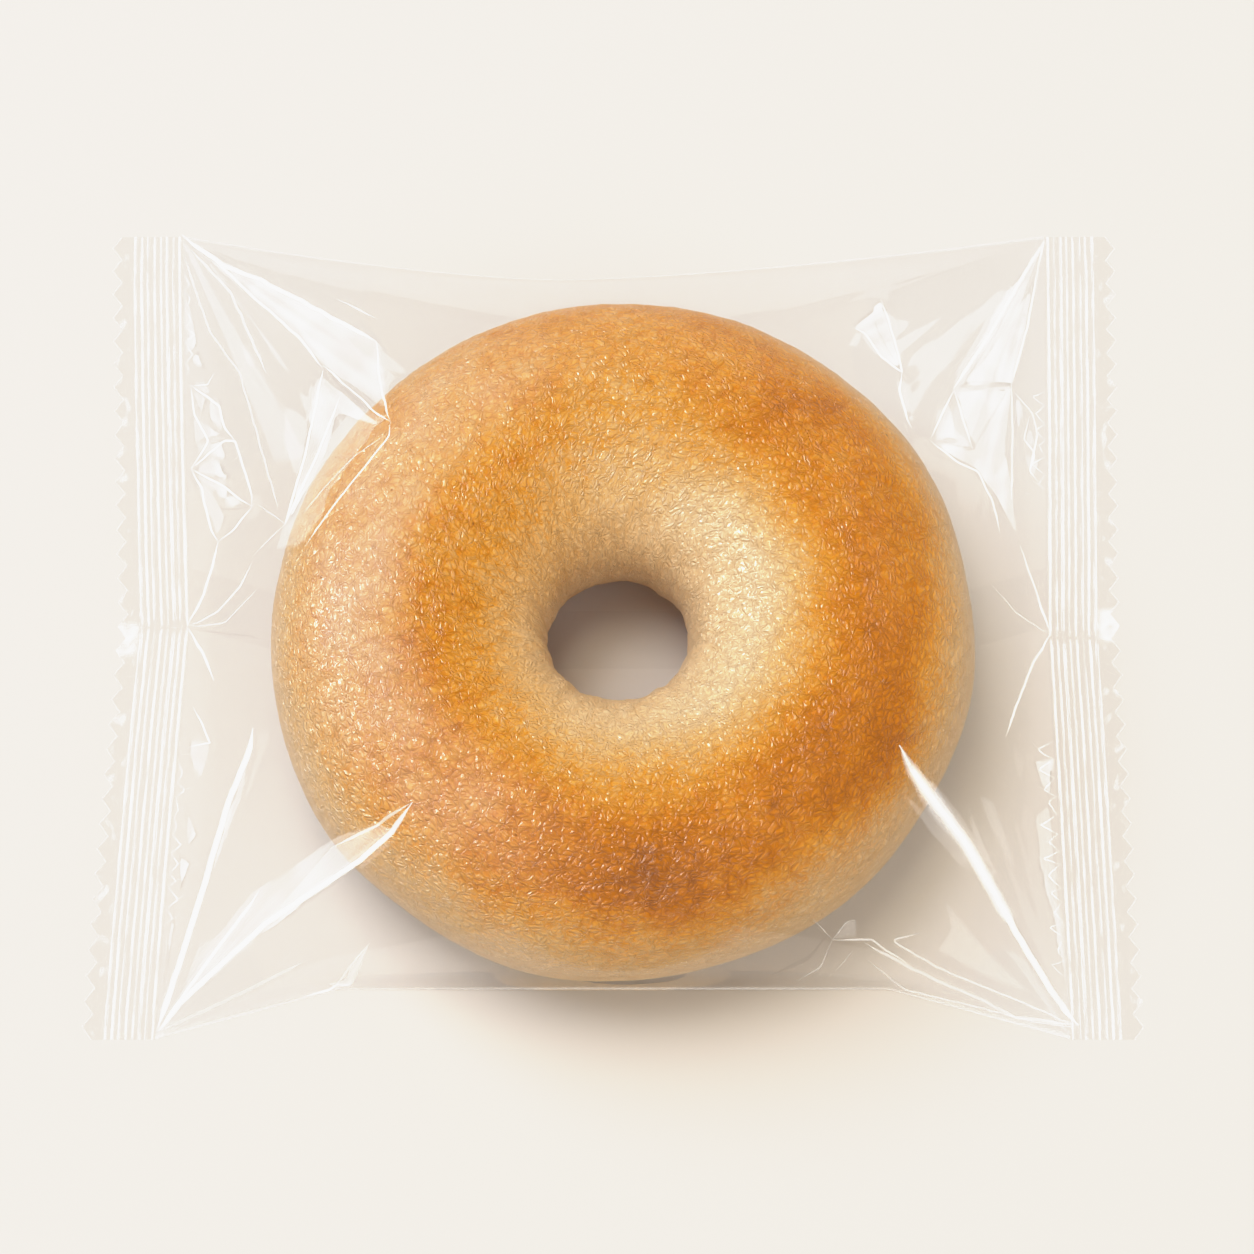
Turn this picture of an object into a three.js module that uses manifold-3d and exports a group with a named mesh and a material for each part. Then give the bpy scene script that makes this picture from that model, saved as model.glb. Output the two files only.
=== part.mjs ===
// A plain bagel sealed in a clear pillow pack, lying flat: film drawn taut over the bagel, sunk into its
// hole, folded at the corners and crimped flat at both ends. Pack and contents are one closed solid.
// Millimetres, +X along the pack from seal to seal, +Y towards its back edge, +Z up. The origin is the middle
// of the outline, on the table.

import * as THREE from "three";
import { mergeVertices } from "three/addons/utils/BufferGeometryUtils.js";
import Module from "manifold-3d";

// Pack.
const PACK_LENGTH = 147.2; // tip to tip over the serrated ends
const HALF_WIDTH = 60.9; // half the flat width of the film tube
const SEAL_WIDTH = 10.4; // crimped ribs and serrated lip together
const LIP_WIDTH = 3.0; // the part of a seal outside its ribs
const SEAL_Z = 18; // height of the end seals over the table
const FILM_STACK = 0.7; // thickness of the solid at its seals and side creases
const SEAL_PULL = [3.0, 1.4]; // how far the middle of the left and right seal is drawn inwards
const WAIST_BACK = 7.0; // how far the back crease is drawn inwards beside the bagel
const WAIST_BACK_X = -8; // where it is drawn in most
const WAIST_BACK_BEND = 1.5; // over 1, so that the back crease is a curve
const WAIST_FRONT = 7.1; // the same for the front crease
const WAIST_FRONT_LENGTH = 25; // from a seal to the straight stretch of the front crease
const SEAL_BEND = 1.2; // over 1, so that the seals bend in most at their middle
const DISH_DEPTH = 14; // how far the top film sinks into the bagel's hole

// Folds of the top film, each from one corner of the pack up to its tip on the bagel's shoulder.
const CORNER_FOLDS = [
  { corner: [-1, 1], tip: [-33, 28], lift: 1.6, reach: 5 },
  { corner: [1, 1], tip: [50, 27], lift: 1.5, reach: 6 },
  { corner: [-1, -1], tip: [-28, -33], lift: 1.6, reach: 4 },
  { corner: [1, -1], tip: [40, -24], lift: 1.6, reach: 3.5 },
];
const TIP_FADE = 0.15; // a fold dies out past its tip within this share of its length

// Seals.
const RIB_COUNT = 4;
const RIB_HEIGHT = 0.5;
const TOOTH_COUNT = 33;
const TOOTH_DEPTH = 0.9;
const LIP_THICKNESS = 0.5;
const SEAL_ROWS = 16;
const OVERLAP = 0.8; // how far joined slabs run into each other

// Bagel.
const BAGEL_X = 1.45;
const BAGEL_Y = -2.2;
const RING_RADIUS = 30.1; // from the middle of the hole to the crest
const DOUGH_HALF_WIDTH = 19.9;
const DOUGH_HALF_HEIGHT = 19.8;
const DOUGH_MIDDLE_Z = 18.2; // under its half height, so the base is flat

// Grid of the film sheets.
const SHEET_COLUMNS = 46;
const SHEET_ROWS = 42;
const CLING_X = 42; // the seals' pull fades out between here and the seals
const CLING_Y = 38; // the waist fades out between here and the side creases
const SEARCH_STEPS = 26;
const STEEPEST = 4; // largest slope that the taut film can have
const WELD = 1e-4; // points closer than this are one

const SEAL_X = PACK_LENGTH / 2 - SEAL_WIDTH;
const GOLDEN = (Math.sqrt(5) - 1) / 2;

// Lowest value of a convex function of one variable between -STEEPEST and STEEPEST.
function lowest(f) {
  let [low, high] = [-STEEPEST, STEEPEST];
  for (let step = 0; step < SEARCH_STEPS; step++) {
    const width = GOLDEN * (high - low);
    if (f(high - width) < f(low + width)) high = low + width;
    else low = high - width;
  }
  return f((low + high) / 2);
}

// Height of film drawn taut over the bagel and the four inner corners of the seals: the convex hull of both,
// which is the lowest of all the planes that touch it from outside. side is 1 for the top, -1 for the bottom.
function tautHeight(x, y, side) {
  const planeOver = (p, q) => {
    const squared = p * p + q * q;
    const dough = Math.sqrt(DOUGH_HALF_WIDTH ** 2 * squared + DOUGH_HALF_HEIGHT ** 2);
    const ring = p * BAGEL_X + q * BAGEL_Y + RING_RADIUS * Math.sqrt(squared);
    const overSeals = SEAL_X * Math.abs(p) + HALF_WIDTH * Math.abs(q) + side * SEAL_Z;
    return Math.max(ring + dough + side * DOUGH_MIDDLE_Z, overSeals) - p * x - q * y;
  };
  return side * lowest((p) => lowest((q) => planeOver(p, q)));
}

// Half the pack's width at s along it, at the back or the front crease.
function halfWidthAt(s, back) {
  if (!back) return HALF_WIDTH - WAIST_FRONT * Math.min(1, (SEAL_X - Math.abs(s)) / WAIST_FRONT_LENGTH);
  const share = Math.abs(s - WAIST_BACK_X) / (SEAL_X - WAIST_BACK_X * Math.sign(s - WAIST_BACK_X));
  return HALF_WIDTH - WAIST_BACK * (1 - Math.min(1, share) ** WAIST_BACK_BEND);
}

// Where a point of the flat film tube, s along it and t across, lies in plan once the pack is full.
function planOf(s, t) {
  const alongShare = Math.max(0, (Math.abs(s) - CLING_X) / (SEAL_X - CLING_X));
  const acrossShare = Math.max(0, (Math.abs(t) - CLING_Y) / (HALF_WIDTH - CLING_Y));
  const pull = SEAL_PULL[s > 0 ? 1 : 0] * (1 - Math.abs(t) / HALF_WIDTH) ** SEAL_BEND;
  const waist = HALF_WIDTH - halfWidthAt(Math.max(-SEAL_X, Math.min(SEAL_X, s)), t > 0);
  return [
    s - Math.sign(s) * pull * Math.min(1, alongShare) ** 2,
    t - Math.sign(t) * waist * acrossShare ** 2,
  ];
}

// Height of the bagel's own skin over or under a point, or the middle height outside it.
function bagelHeight(x, y, side) {
  const across = (Math.hypot(x - BAGEL_X, y - BAGEL_Y) - RING_RADIUS) / DOUGH_HALF_WIDTH;
  const rise = Math.abs(across) < 1 ? Math.sqrt(1 - across * across) : 0;
  return DOUGH_MIDDLE_Z + side * DOUGH_HALF_HEIGHT * rise;
}

// How far a corner's fold lifts the film: a crest that grows from corner to tip, with straight flanks.
function foldLift(x, y, { corner, tip, lift, reach }) {
  const start = [corner[0] * SEAL_X, corner[1] * HALF_WIDTH];
  const run = [tip[0] - start[0], tip[1] - start[1]];
  const length = Math.hypot(...run);
  const along = ((x - start[0]) * run[0] + (y - start[1]) * run[1]) / length ** 2;
  const off = Math.abs((x - start[0]) * run[1] - (y - start[1]) * run[0]) / length;
  if (along <= 0) return 0;
  const crest = lift * Math.max(0, Math.min(along, 1 - (along - 1) / TIP_FADE));
  return crest * Math.max(0, 1 - off / (reach * Math.min(1, along)));
}

function topFilm(s, t) {
  const [x, y] = planOf(s, t);
  const fromHole = Math.hypot(x - BAGEL_X, y - BAGEL_Y) / RING_RADIUS;
  const dish = fromHole < 1 ? DISH_DEPTH * (1 - fromHole ** 2) ** 2 : 0;
  const resting = Math.max(tautHeight(s, t, 1) - dish, bagelHeight(x, y, 1));
  const lifted = Math.max(...CORNER_FOLDS.map((fold) => foldLift(x, y, fold)));
  return [x, y, resting + lifted + FILM_STACK / 2];
}

function bottomFilm(s, t) {
  const [x, y] = planOf(s, t);
  const taut = Math.min(tautHeight(s, t, -1), bagelHeight(x, y, -1));
  return [x, y, Math.max(0, taut - FILM_STACK / 2)];
}

// Evenly spaced numbers from first to last.
function spread(first, last, count) {
  return Array.from({ length: count + 1 }, (_, i) => first + ((last - first) * i) / count);
}

// A closed slab between two sheets of points, one point of each for every column and row.
function slab(columns, rows, top, bottom) {
  const positions = [];
  const quad = (a, b, c, d) => positions.push(...a, ...b, ...c, ...a, ...c, ...d);
  const upper = columns.map((s) => rows.map((t) => top(s, t)));
  const lower = columns.map((s) => rows.map((t) => bottom(s, t)));
  const [lastColumn, lastRow] = [columns.length - 1, rows.length - 1];
  for (let i = 0; i < lastColumn; i++) {
    for (let j = 0; j < lastRow; j++) {
      quad(upper[i][j], upper[i + 1][j], upper[i + 1][j + 1], upper[i][j + 1]);
      quad(lower[i][j], lower[i][j + 1], lower[i + 1][j + 1], lower[i + 1][j]);
    }
    quad(lower[i][0], lower[i + 1][0], upper[i + 1][0], upper[i][0]);
    quad(lower[i + 1][lastRow], lower[i][lastRow], upper[i][lastRow], upper[i + 1][lastRow]);
  }
  for (let j = 0; j < lastRow; j++) {
    quad(lower[0][j + 1], lower[0][j], upper[0][j], upper[0][j + 1]);
    quad(lower[lastColumn][j], lower[lastColumn][j + 1], upper[lastColumn][j + 1], upper[lastColumn][j]);
  }
  return new THREE.BufferGeometry().setAttribute("position", new THREE.Float32BufferAttribute(positions, 3));
}

// A strip of a seal: end is -1 for the left one and 1 for the right, from and to are distances outwards from
// the pack's inner seal line, and rise(distance) lifts the strip's two faces alike.
function sealStrip(end, from, to, columnCount, rows, thickness, rise, edge) {
  const face = (side) => (distance, t) => {
    const [x, y] = planOf(end * SEAL_X, t);
    return [x + end * (distance + edge(distance, t)), y, SEAL_Z + rise(distance) + (side * thickness) / 2];
  };
  const distances = spread(from, to, columnCount);
  const outwards = end > 0 ? rows : [...rows].reverse();
  return slab(distances, outwards, face(1), face(-1));
}

// Crimped ribs that run the length of a seal.
function ribbedStrip(end) {
  const width = SEAL_WIDTH - LIP_WIDTH;
  const zigzag = (distance) => {
    const phase = (distance / width) * RIB_COUNT * 2;
    return distance < 0 ? 0 : (RIB_HEIGHT / 2) * (Math.round(phase) % 2 ? 1 : -1);
  };
  const rows = spread(-HALF_WIDTH, HALF_WIDTH, SEAL_ROWS);
  return sealStrip(end, -OVERLAP, width, 2 * RIB_COUNT + 1, rows, FILM_STACK, zigzag, () => 0);
}

// The flat lip outside the ribs, whose outer edge is cut in teeth.
function serratedLip(end) {
  const toothHalf = HALF_WIDTH / TOOTH_COUNT;
  const rows = spread(-HALF_WIDTH, HALF_WIDTH, 2 * TOOTH_COUNT);
  const notch = (distance, t) => {
    const isRoot = Math.round((t + HALF_WIDTH) / toothHalf) % 2 === 0;
    return distance === SEAL_WIDTH && isRoot ? -TOOTH_DEPTH : 0;
  };
  const from = SEAL_WIDTH - LIP_WIDTH - OVERLAP;
  return sealStrip(end, from, SEAL_WIDTH, 1, rows, LIP_THICKNESS, () => 0, notch);
}

function pillow() {
  const columns = spread(-SEAL_X, SEAL_X, SHEET_COLUMNS);
  const rows = spread(-HALF_WIDTH, HALF_WIDTH, SHEET_ROWS);
  return slab(columns, rows, topFilm, bottomFilm);
}

const wasm = await Module();
wasm.setup();

function solidOf(geometry) {
  const merged = mergeVertices(geometry, WELD);
  const vertProperties = merged.attributes.position.array;
  return new wasm.Manifold(new wasm.Mesh({ numProp: 3, vertProperties, triVerts: merged.index.array }));
}

function geometryOf(solid) {
  const mesh = solid.getMesh();
  const geometry = new THREE.BufferGeometry();
  geometry.setAttribute("position", new THREE.BufferAttribute(mesh.vertProperties, 3));
  geometry.setIndex(new THREE.BufferAttribute(mesh.triVerts, 1));
  geometry.computeVertexNormals();
  return geometry;
}

function sealedBag() {
  let whole = solidOf(pillow());
  for (const end of [-1, 1]) {
    whole = whole.add(solidOf(ribbedStrip(end)));
    whole = whole.add(solidOf(serratedLip(end)));
  }
  const tint = new THREE.Color(0.87, 0.66, 0.4); // golden crust seen through clear film
  const film = new THREE.MeshStandardMaterial({ color: tint, roughness: 0.25, metalness: 0 });
  const mesh = new THREE.Mesh(geometryOf(whole), film);
  mesh.name = "sealed_bag";
  return mesh;
}

const pack = new THREE.Group();
pack.add(sealedBag());

export default pack;
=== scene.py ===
"""A plain bagel sealed in a clear pillow pack, lying on a pale table. Sizes are in millimetres.

The pack lies along X, with an end seal at each side, its back edge towards +Y and the table at z = 0.
"""
import itertools
import math

import bpy
import numpy as np
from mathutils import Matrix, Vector


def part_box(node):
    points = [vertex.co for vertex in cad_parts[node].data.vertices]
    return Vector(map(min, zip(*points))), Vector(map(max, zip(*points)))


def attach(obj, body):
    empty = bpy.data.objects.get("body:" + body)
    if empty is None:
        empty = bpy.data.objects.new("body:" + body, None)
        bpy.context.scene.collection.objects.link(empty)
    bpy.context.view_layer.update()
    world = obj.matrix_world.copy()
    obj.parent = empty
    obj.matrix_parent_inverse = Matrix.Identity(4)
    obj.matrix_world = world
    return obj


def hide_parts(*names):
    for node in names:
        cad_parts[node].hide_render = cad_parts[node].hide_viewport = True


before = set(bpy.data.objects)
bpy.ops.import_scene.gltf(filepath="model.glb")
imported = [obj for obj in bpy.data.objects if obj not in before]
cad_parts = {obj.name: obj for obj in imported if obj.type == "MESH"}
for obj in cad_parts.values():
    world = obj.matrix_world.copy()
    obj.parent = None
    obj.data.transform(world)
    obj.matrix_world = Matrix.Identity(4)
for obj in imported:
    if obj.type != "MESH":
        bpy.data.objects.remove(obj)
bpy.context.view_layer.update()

MM = 0.001

# The pack, as in the CAD model. It has an end seal at each side, whose outer part is a plain, serrated lip.
CAD_LOW, CAD_HIGH = (np.array(corner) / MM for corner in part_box("sealed_bag"))
HALF_WIDTH = (CAD_HIGH[1] - CAD_LOW[1]) / 2
SEAL_WIDTH = 10.4
LIP_WIDTH = 3.0
TOOTH_COUNT = 33
TOOTH_DEPTH = 1.35
RIB_COUNT = 8
SEAL_X = (CAD_HIGH[0] - CAD_LOW[0]) / 2 - SEAL_WIDTH
SEAL_Z = 18.0
# How far the full pack draws in its seals, and its back and front edges.
SEAL_PULL_LEFT = 3.0
SEAL_PULL_RIGHT = 1.4
PULL_CURVE = 1.2
WAIST_BACK = 7.0
WAIST_BACK_CURVE = 1.5
WAIST_MIDDLE = -8.0
WAIST_FRONT = 7.1
WAIST_FRONT_LENGTH = 25.0
# Inside these distances from the middle the film clings to the bagel. It sinks into the bagel's hole.
CLING_X = 42.0
CLING_Y = 38.0
DISH_DEPTH = 14.0

# The bagel, as a ring with an elliptical section.
BAGEL_X = 1.45
BAGEL_Y = -2.2
RING_RADIUS = 30.1
DOUGH_HALF_WIDTH = 19.9
DOUGH_HALF_HEIGHT = 19.8
DOUGH_MIDDLE_Z = 18.2
OUTER_RADIUS = 50.35
HOLE_RADIUS = 10.2
HOLE_SHIFT = -0.95
BASE_Z = 0.7

# The camera, in degrees and in millimetres of film.
CAMERA_PLACE = (1.97, -242.46, 674.24)
CAMERA_TILT = 20.27
CAMERA_LENS = 140.97
CAMERA_SENSOR = 36.0
CAMERA_CLIP = (50.0, 20000.0)


# Numbers --------------------

# Brings gradient noise up to mostly -1 to 1.
NOISE_GAIN = 1.9


def smoothstep(low, high, value):
    """A smooth ramp from 0, at low, to 1, at high."""
    share = np.clip((value - low) / (high - low), 0.0, 1.0)
    return share * share * (3.0 - 2.0 * share)


def hashed(seed, *cells):
    """A repeatable random number from 0 to 1 for each lattice cell."""
    value = np.full(np.shape(cells[0]), seed * 7919 + 17, np.uint64)
    for cell in cells:
        value ^= np.asarray(cell).astype(np.int64).astype(np.uint64)
        value = value * np.uint64(0x9E3779B97F4A7C15)
        value ^= value >> np.uint64(29)
        value = value * np.uint64(0xBF58476D1CE4E5B9)
        value ^= value >> np.uint64(32)
    return (value & np.uint64(0xFFFFFF)).astype(float) / 0xFFFFFF


def flat_points(x, y):
    """Points of a plane as an array of 3 columns, to look up noise at."""
    return np.stack([x, y, np.zeros_like(x)], axis=1)


def smooth_noise(points, size, seed):
    """Gradient noise at points (an array of 3 columns), with cells of the given size."""
    scaled = points / size
    cell = np.floor(scaled).astype(np.int64)
    part = scaled - cell
    fade = part ** 3 * (part * (part * 6.0 - 15.0) + 10.0)
    total = np.zeros(len(points))
    for corner in itertools.product((0, 1), repeat=3):
        at = cell + np.array(corner)
        weight = np.prod(np.where(corner, fade, 1.0 - fade), axis=1)
        slope = sum(
            (2.0 * hashed(seed * 3 + k, *at.T) - 1.0) * (part[:, k] - corner[k]) for k in range(3))
        total += weight * slope
    return total * NOISE_GAIN


def bumps(points, kind, seed):
    """Heights of smooth bumps of one kind, which is how high and how wide they are."""
    height, size = kind
    return height * smooth_noise(points, size, seed)


def facet_noise(u, v, seed):
    """Random heights from -1 to 1 on a bent lattice of cells of 1 by 1, each folded along one diagonal."""
    shape = u.shape
    u, v = u.ravel(), v.ravel()
    bend = flat_points(u, v)
    u = u + 0.45 * smooth_noise(bend, 1.7, seed + 50)
    v = v + 0.45 * smooth_noise(bend, 1.7, seed + 51)
    i, j = np.floor(u), np.floor(v)
    a, b = u - i, v - j
    height = {(p, q): 2.0 * hashed(seed, i + p, j + q) - 1.0 for p in (0, 1) for q in (0, 1)}
    rising = np.where(
        a > b,
        height[0, 0] + a * (height[1, 0] - height[0, 0]) + b * (height[1, 1] - height[1, 0]),
        height[0, 0] + b * (height[0, 1] - height[0, 0]) + a * (height[1, 1] - height[0, 1]),
    )
    falling = np.where(
        a + b < 1.0,
        height[0, 0] + a * (height[1, 0] - height[0, 0]) + b * (height[0, 1] - height[0, 0]),
        height[1, 1] + (1 - a) * (height[0, 1] - height[1, 1]) + (1 - b) * (height[1, 0] - height[1, 1]),
    )
    return np.where(hashed(seed + 9, i, j) > 0.5, rising, falling).reshape(shape)


# Meshes --------------------

def flat_grid(columns, rows):
    """Both coordinates of every point of a grid, column by column."""
    return (a.ravel() for a in np.meshgrid(columns, rows, indexing="ij"))


def grid_faces(columns, rows, wrap_columns=False, wrap_rows=False):
    """Quads over a grid of points that is stored column by column."""
    i = np.arange(columns if wrap_columns else columns - 1)
    j = np.arange(rows if wrap_rows else rows - 1)
    i, j = flat_grid(i, j)
    ni, nj = (i + 1) % columns, (j + 1) % rows
    return np.stack([i * rows + j, ni * rows + j, ni * rows + nj, i * rows + nj], axis=1)


def make_piece(name, points, faces, material, layers=()):
    """A smooth mesh object from points in millimetres. Each layer has a name and, for each point, a number
    or a vector."""
    mesh = bpy.data.meshes.new(name)
    mesh.vertices.add(len(points))
    mesh.vertices.foreach_set("co", (points * MM).astype(np.float32).ravel())
    mesh.loops.add(faces.size)
    mesh.loops.foreach_set("vertex_index", faces.astype(np.int32).ravel())
    mesh.polygons.add(len(faces))
    starts = np.arange(0, faces.size, faces.shape[1], dtype=np.int32)
    mesh.polygons.foreach_set("loop_start", starts)
    mesh.update(calc_edges=True)
    mesh.polygons.foreach_set("use_smooth", np.ones(len(faces), bool))
    for layer, values in layers:
        values = np.asarray(values, np.float32).ravel()
        is_vector = len(values) == 3 * len(points)
        attribute = mesh.attributes.new(layer, "FLOAT_VECTOR" if is_vector else "FLOAT", "POINT")
        attribute.data.foreach_set("vector" if is_vector else "value", values)
    mesh.validate()
    mesh.materials.append(material)
    piece = bpy.data.objects.new(name, mesh)
    bpy.context.scene.collection.objects.link(piece)
    return piece


# Form of the pack --------------------

# The search for the hull's slope at each point.
STEEPEST = 4.0
SEARCH_STEPS = 24
GOLDEN = (math.sqrt(5.0) - 1.0) / 2.0


def lowest(f, shape):
    """Lowest value of a convex function of one variable, for each point of an array."""
    low, high = np.full(shape, -STEEPEST), np.full(shape, STEEPEST)
    for _ in range(SEARCH_STEPS):
        width = GOLDEN * (high - low)
        falls = f(high - width) < f(low + width)
        low, high = np.where(falls, low, high - width), np.where(falls, low + width, high)
    return f((low + high) / 2.0)


def taut_height(x, y, side):
    """Height of film drawn taut over the bagel and the inner corners of the seals: their convex hull."""
    def over_slope(p):
        def over(q):
            squared = p * p + q * q
            dough = np.sqrt(DOUGH_HALF_WIDTH ** 2 * squared + DOUGH_HALF_HEIGHT ** 2)
            bagel = p * BAGEL_X + q * BAGEL_Y + RING_RADIUS * np.sqrt(squared) + dough
            bagel = bagel + side * DOUGH_MIDDLE_Z
            seals = SEAL_X * np.abs(p) + HALF_WIDTH * np.abs(q) + side * SEAL_Z
            return np.maximum(bagel, seals) - p * x - q * y
        return lowest(over, x.shape)
    return side * lowest(over_slope, x.shape)


def half_width_at(s, back):
    """How far the pack's back or front edge is from its middle line."""
    if not back:
        return HALF_WIDTH - WAIST_FRONT * np.minimum(1.0, (SEAL_X - np.abs(s)) / WAIST_FRONT_LENGTH)
    share = np.abs(s - WAIST_MIDDLE) / (SEAL_X - WAIST_MIDDLE * np.sign(s - WAIST_MIDDLE))
    return HALF_WIDTH - WAIST_BACK * (1.0 - np.minimum(1.0, share) ** WAIST_BACK_CURVE)


def pull_at(side, t):
    """How far the inner edge of a seal is drawn in towards the bagel."""
    most = np.where(side > 0, SEAL_PULL_RIGHT, SEAL_PULL_LEFT)
    return most * np.maximum(1.0 - np.abs(t) / HALF_WIDTH, 0.0) ** PULL_CURVE


def plan_of(s, t):
    """Where a point of the flat film tube, s along it and t across, lies in plan once the pack is full."""
    along = np.clip((np.abs(s) - CLING_X) / (SEAL_X - CLING_X), 0.0, 1.0)
    across = np.clip((np.abs(t) - CLING_Y) / (HALF_WIDTH - CLING_Y), 0.0, 1.0)
    pull = pull_at(s, t)
    inside = np.clip(s, -SEAL_X, SEAL_X)
    waist = HALF_WIDTH - np.where(t > 0, half_width_at(inside, True), half_width_at(inside, False))
    return s - np.sign(s) * pull * along ** 2, t - np.sign(t) * waist * across ** 2


def dough_height(x, y, side):
    """Height of the bagel's skin over or under a point, or its middle height outside it."""
    across = (np.hypot(x - BAGEL_X, y - BAGEL_Y) - RING_RADIUS) / DOUGH_HALF_WIDTH
    return DOUGH_MIDDLE_Z + side * DOUGH_HALF_HEIGHT * np.sqrt(np.clip(1.0 - across ** 2, 0.0, 1.0))


# Folds of the top film --------------------

# Flat facets that the film is folded into at the pack's corners and beside its seals. Each one faces so
# that it throws the light of its side at the camera: its side (-1 left, 1 right), how soft its gloss is,
# how crumpled it is, and its outline in plan.
FACETS = [
    # Back left: a kite from the corner to the bagel's shoulder, and a band that turns down from its tip.
    (-1, 0.1, 0.1, [(-63, 60), (-33.5, 38.5), (-32, 27.5), (-41, 35.5), (-45, 42)]),
    (-1, 0, 0.1, [(-43, 29.5), (-41.5, 34.5), (-32, 24), (-39, 27.5)]),
    (-1, 0, 0.1, [(-43, 29.5), (-39, 27.5), (-42.5, 18), (-46, 11.5), (-44, 20)]),
    # Left crumples: small triangles that fan out from two pinches in the seal's inner edge.
    (-1, 0, 0.3, [(-62.5, 52), (-61.3, 48.5), (-60.4, 43), (-62, 42)]),
    (-1, 0, 0.3, [(-61.6, 41), (-60, 42), (-58.6, 38.5)]),
    (-1, 0, 0.3, [(-61.3, 37), (-59, 37.2), (-57, 34.5), (-58.8, 35)]),
    (-1, 0, 0.3, [(-61.3, 36.4), (-58.6, 34.2), (-59.4, 31.5)]),
    (-1, 0, 0.3, [(-58.2, 34.2), (-56.6, 33.5), (-55.8, 29), (-58.2, 31)]),
    (-1, 0, 0.3, [(-61, 32), (-59.6, 31), (-56, 28.3), (-60.6, 28)]),
    (-1, 0, 0.3, [(-60.8, 27.5), (-56, 27.5), (-55.2, 24.5), (-58.5, 26)]),
    (-1, 0, 0.3, [(-61, 23.7), (-57.5, 25.2), (-53.5, 20.5), (-56.5, 22)]),
    (-1, 0, 0.3, [(-61, 23.4), (-56.2, 21), (-51.8, 16.5), (-54.6, 17.2)]),
    (-1, 0, 0.3, [(-61, 23), (-57.3, 19.5), (-55.2, 15.8), (-56.6, 12.5), (-57.6, 15.5)]),
    # Back right: a narrow streak, a kite of three panels, its band downwards and a sliver beside it.
    (1, 0, 0, [(63, 59.5), (57, 50), (49, 33.5), (57.8, 49.5)]),
    (1, 0, 0, [(62, 58), (56.5, 47), (52, 38), (57.2, 46.5)]),
    (1, 0, 0.3, [(61.5, 53.5), (56, 43), (50.5, 34.5), (57.5, 35.5), (59.5, 42)]),
    (1, 0, 0.3, [(49.2, 33), (51.5, 24.5), (56.5, 25), (57.5, 35)]),
    (1, 0, 0.3, [(45.5, 24.5), (51.5, 21.5), (55, 17), (58, 11), (56.5, 24.5), (49, 24.8)]),
    (1, 0, 0.3, [(45.5, 25.5), (48, 30.5), (49, 26)]),
    # Back right star.
    (1, 0, 0.4, [
        (34, 41), (37.1, 44), (38.4, 46.1), (40.4, 39.7), (41.3, 34.9), (38.2, 37.1), (36.1, 40.2)]),
    (1, 0, 0, [(41.2, 34.4), (40.8, 31.8), (42.5, 25.9), (41.8, 31.5)]),
    # Right crumples.
    (1, 0, 0.4, [(58, 35), (59.3, 32.5), (57.6, 27)]),
    (1, 0, 0.4, [(59.6, 30.5), (61.2, 27.5), (59.2, 26.5)]),
    (1, 0, 0.4, [(58.7, 25.5), (61.4, 25), (60.4, 21)]),
    (1, 0, 0.5, [(59, -21), (62, -20), (61.5, -26), (60, -24)]),
    (1, 0, 0.5, [(59, -29), (61.5, -27), (62.5, -45), (63.3, -56), (61.3, -45), (59.5, -36)]),
    # Front left: a wide soft spike up on to the bagel, a thin crooked one beside it, and crumples.
    (-1, 1, 0, [(-27.4, -32.1), (-38, -34.8), (-50, -42), (-63, -60.5), (-43, -43), (-34, -37)]),
    (-1, 0.3, 0, [(-27.4, -32.1), (-43, -43), (-62, -59.5), (-50, -49), (-36, -40)]),
    (-1, 0, 0.4, [(-50, -18.5), (-51.8, -28), (-57, -41.5), (-62.5, -59), (-55.5, -36), (-53, -28)]),
    (-1, 0, 0.5, [(-60, -18), (-56.5, -18.5), (-57.5, -23.5), (-59, -22)]),
    (-1, 0, 0.5, [(-60.3, -26.5), (-58, -32), (-59.3, -33.5)]),
    (-1, 0, 0.5, [(-61, -34), (-59, -36), (-60, -40.5)]),
    (-1, 0, 0.4, [(-61, -40.5), (-61, -46), (-62.3, -55), (-61.8, -45)]),
    # Front right: a thin soft spike up on to the bagel, and the wing that bends back from its tip.
    (1, 0.4, 0, [(39, -22.6), (44.5, -27.5), (52, -38.5), (64, -59.5), (50.5, -39.5), (43.5, -31)]),
    (1, 0.6, 0, [(39, -22.6), (41, -21.5), (44.5, -17), (42.6, -22)]),
]
# Painted sheen: pale milky patches on slack film that hangs a little off the bagel: how strong, and its
# outline in plan.
SHEEN_PATCHES = [
    (0.15, [(-32, 26.5), (-34.5, 19), (-44, 7.5), (-47.5, 8), (-46, 14), (-42, 22), (-37, 28)]),
    (0.14, [
        (-27.4, -32.1), (-31.2, -33.4), (-38.9, -36.4), (-47.7, -46.2), (-34.8, -38.7), (-30.4, -35.6)]),
    (0.10, [(45.8, -43.9), (46.7, -47.2), (44.9, -50.2), (50.7, -52.8), (57.6, -55.1), (53, -51.5)]),
    (0.12, [(51, -28.2), (52.9, -28.7), (55.1, -34.6), (55.9, -38.6), (52.3, -32.1)]),
    (0.12, [(30.2, -49.2), (32, -47.2), (33.3, -46.9), (33.4, -48.7)]),
]
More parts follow.
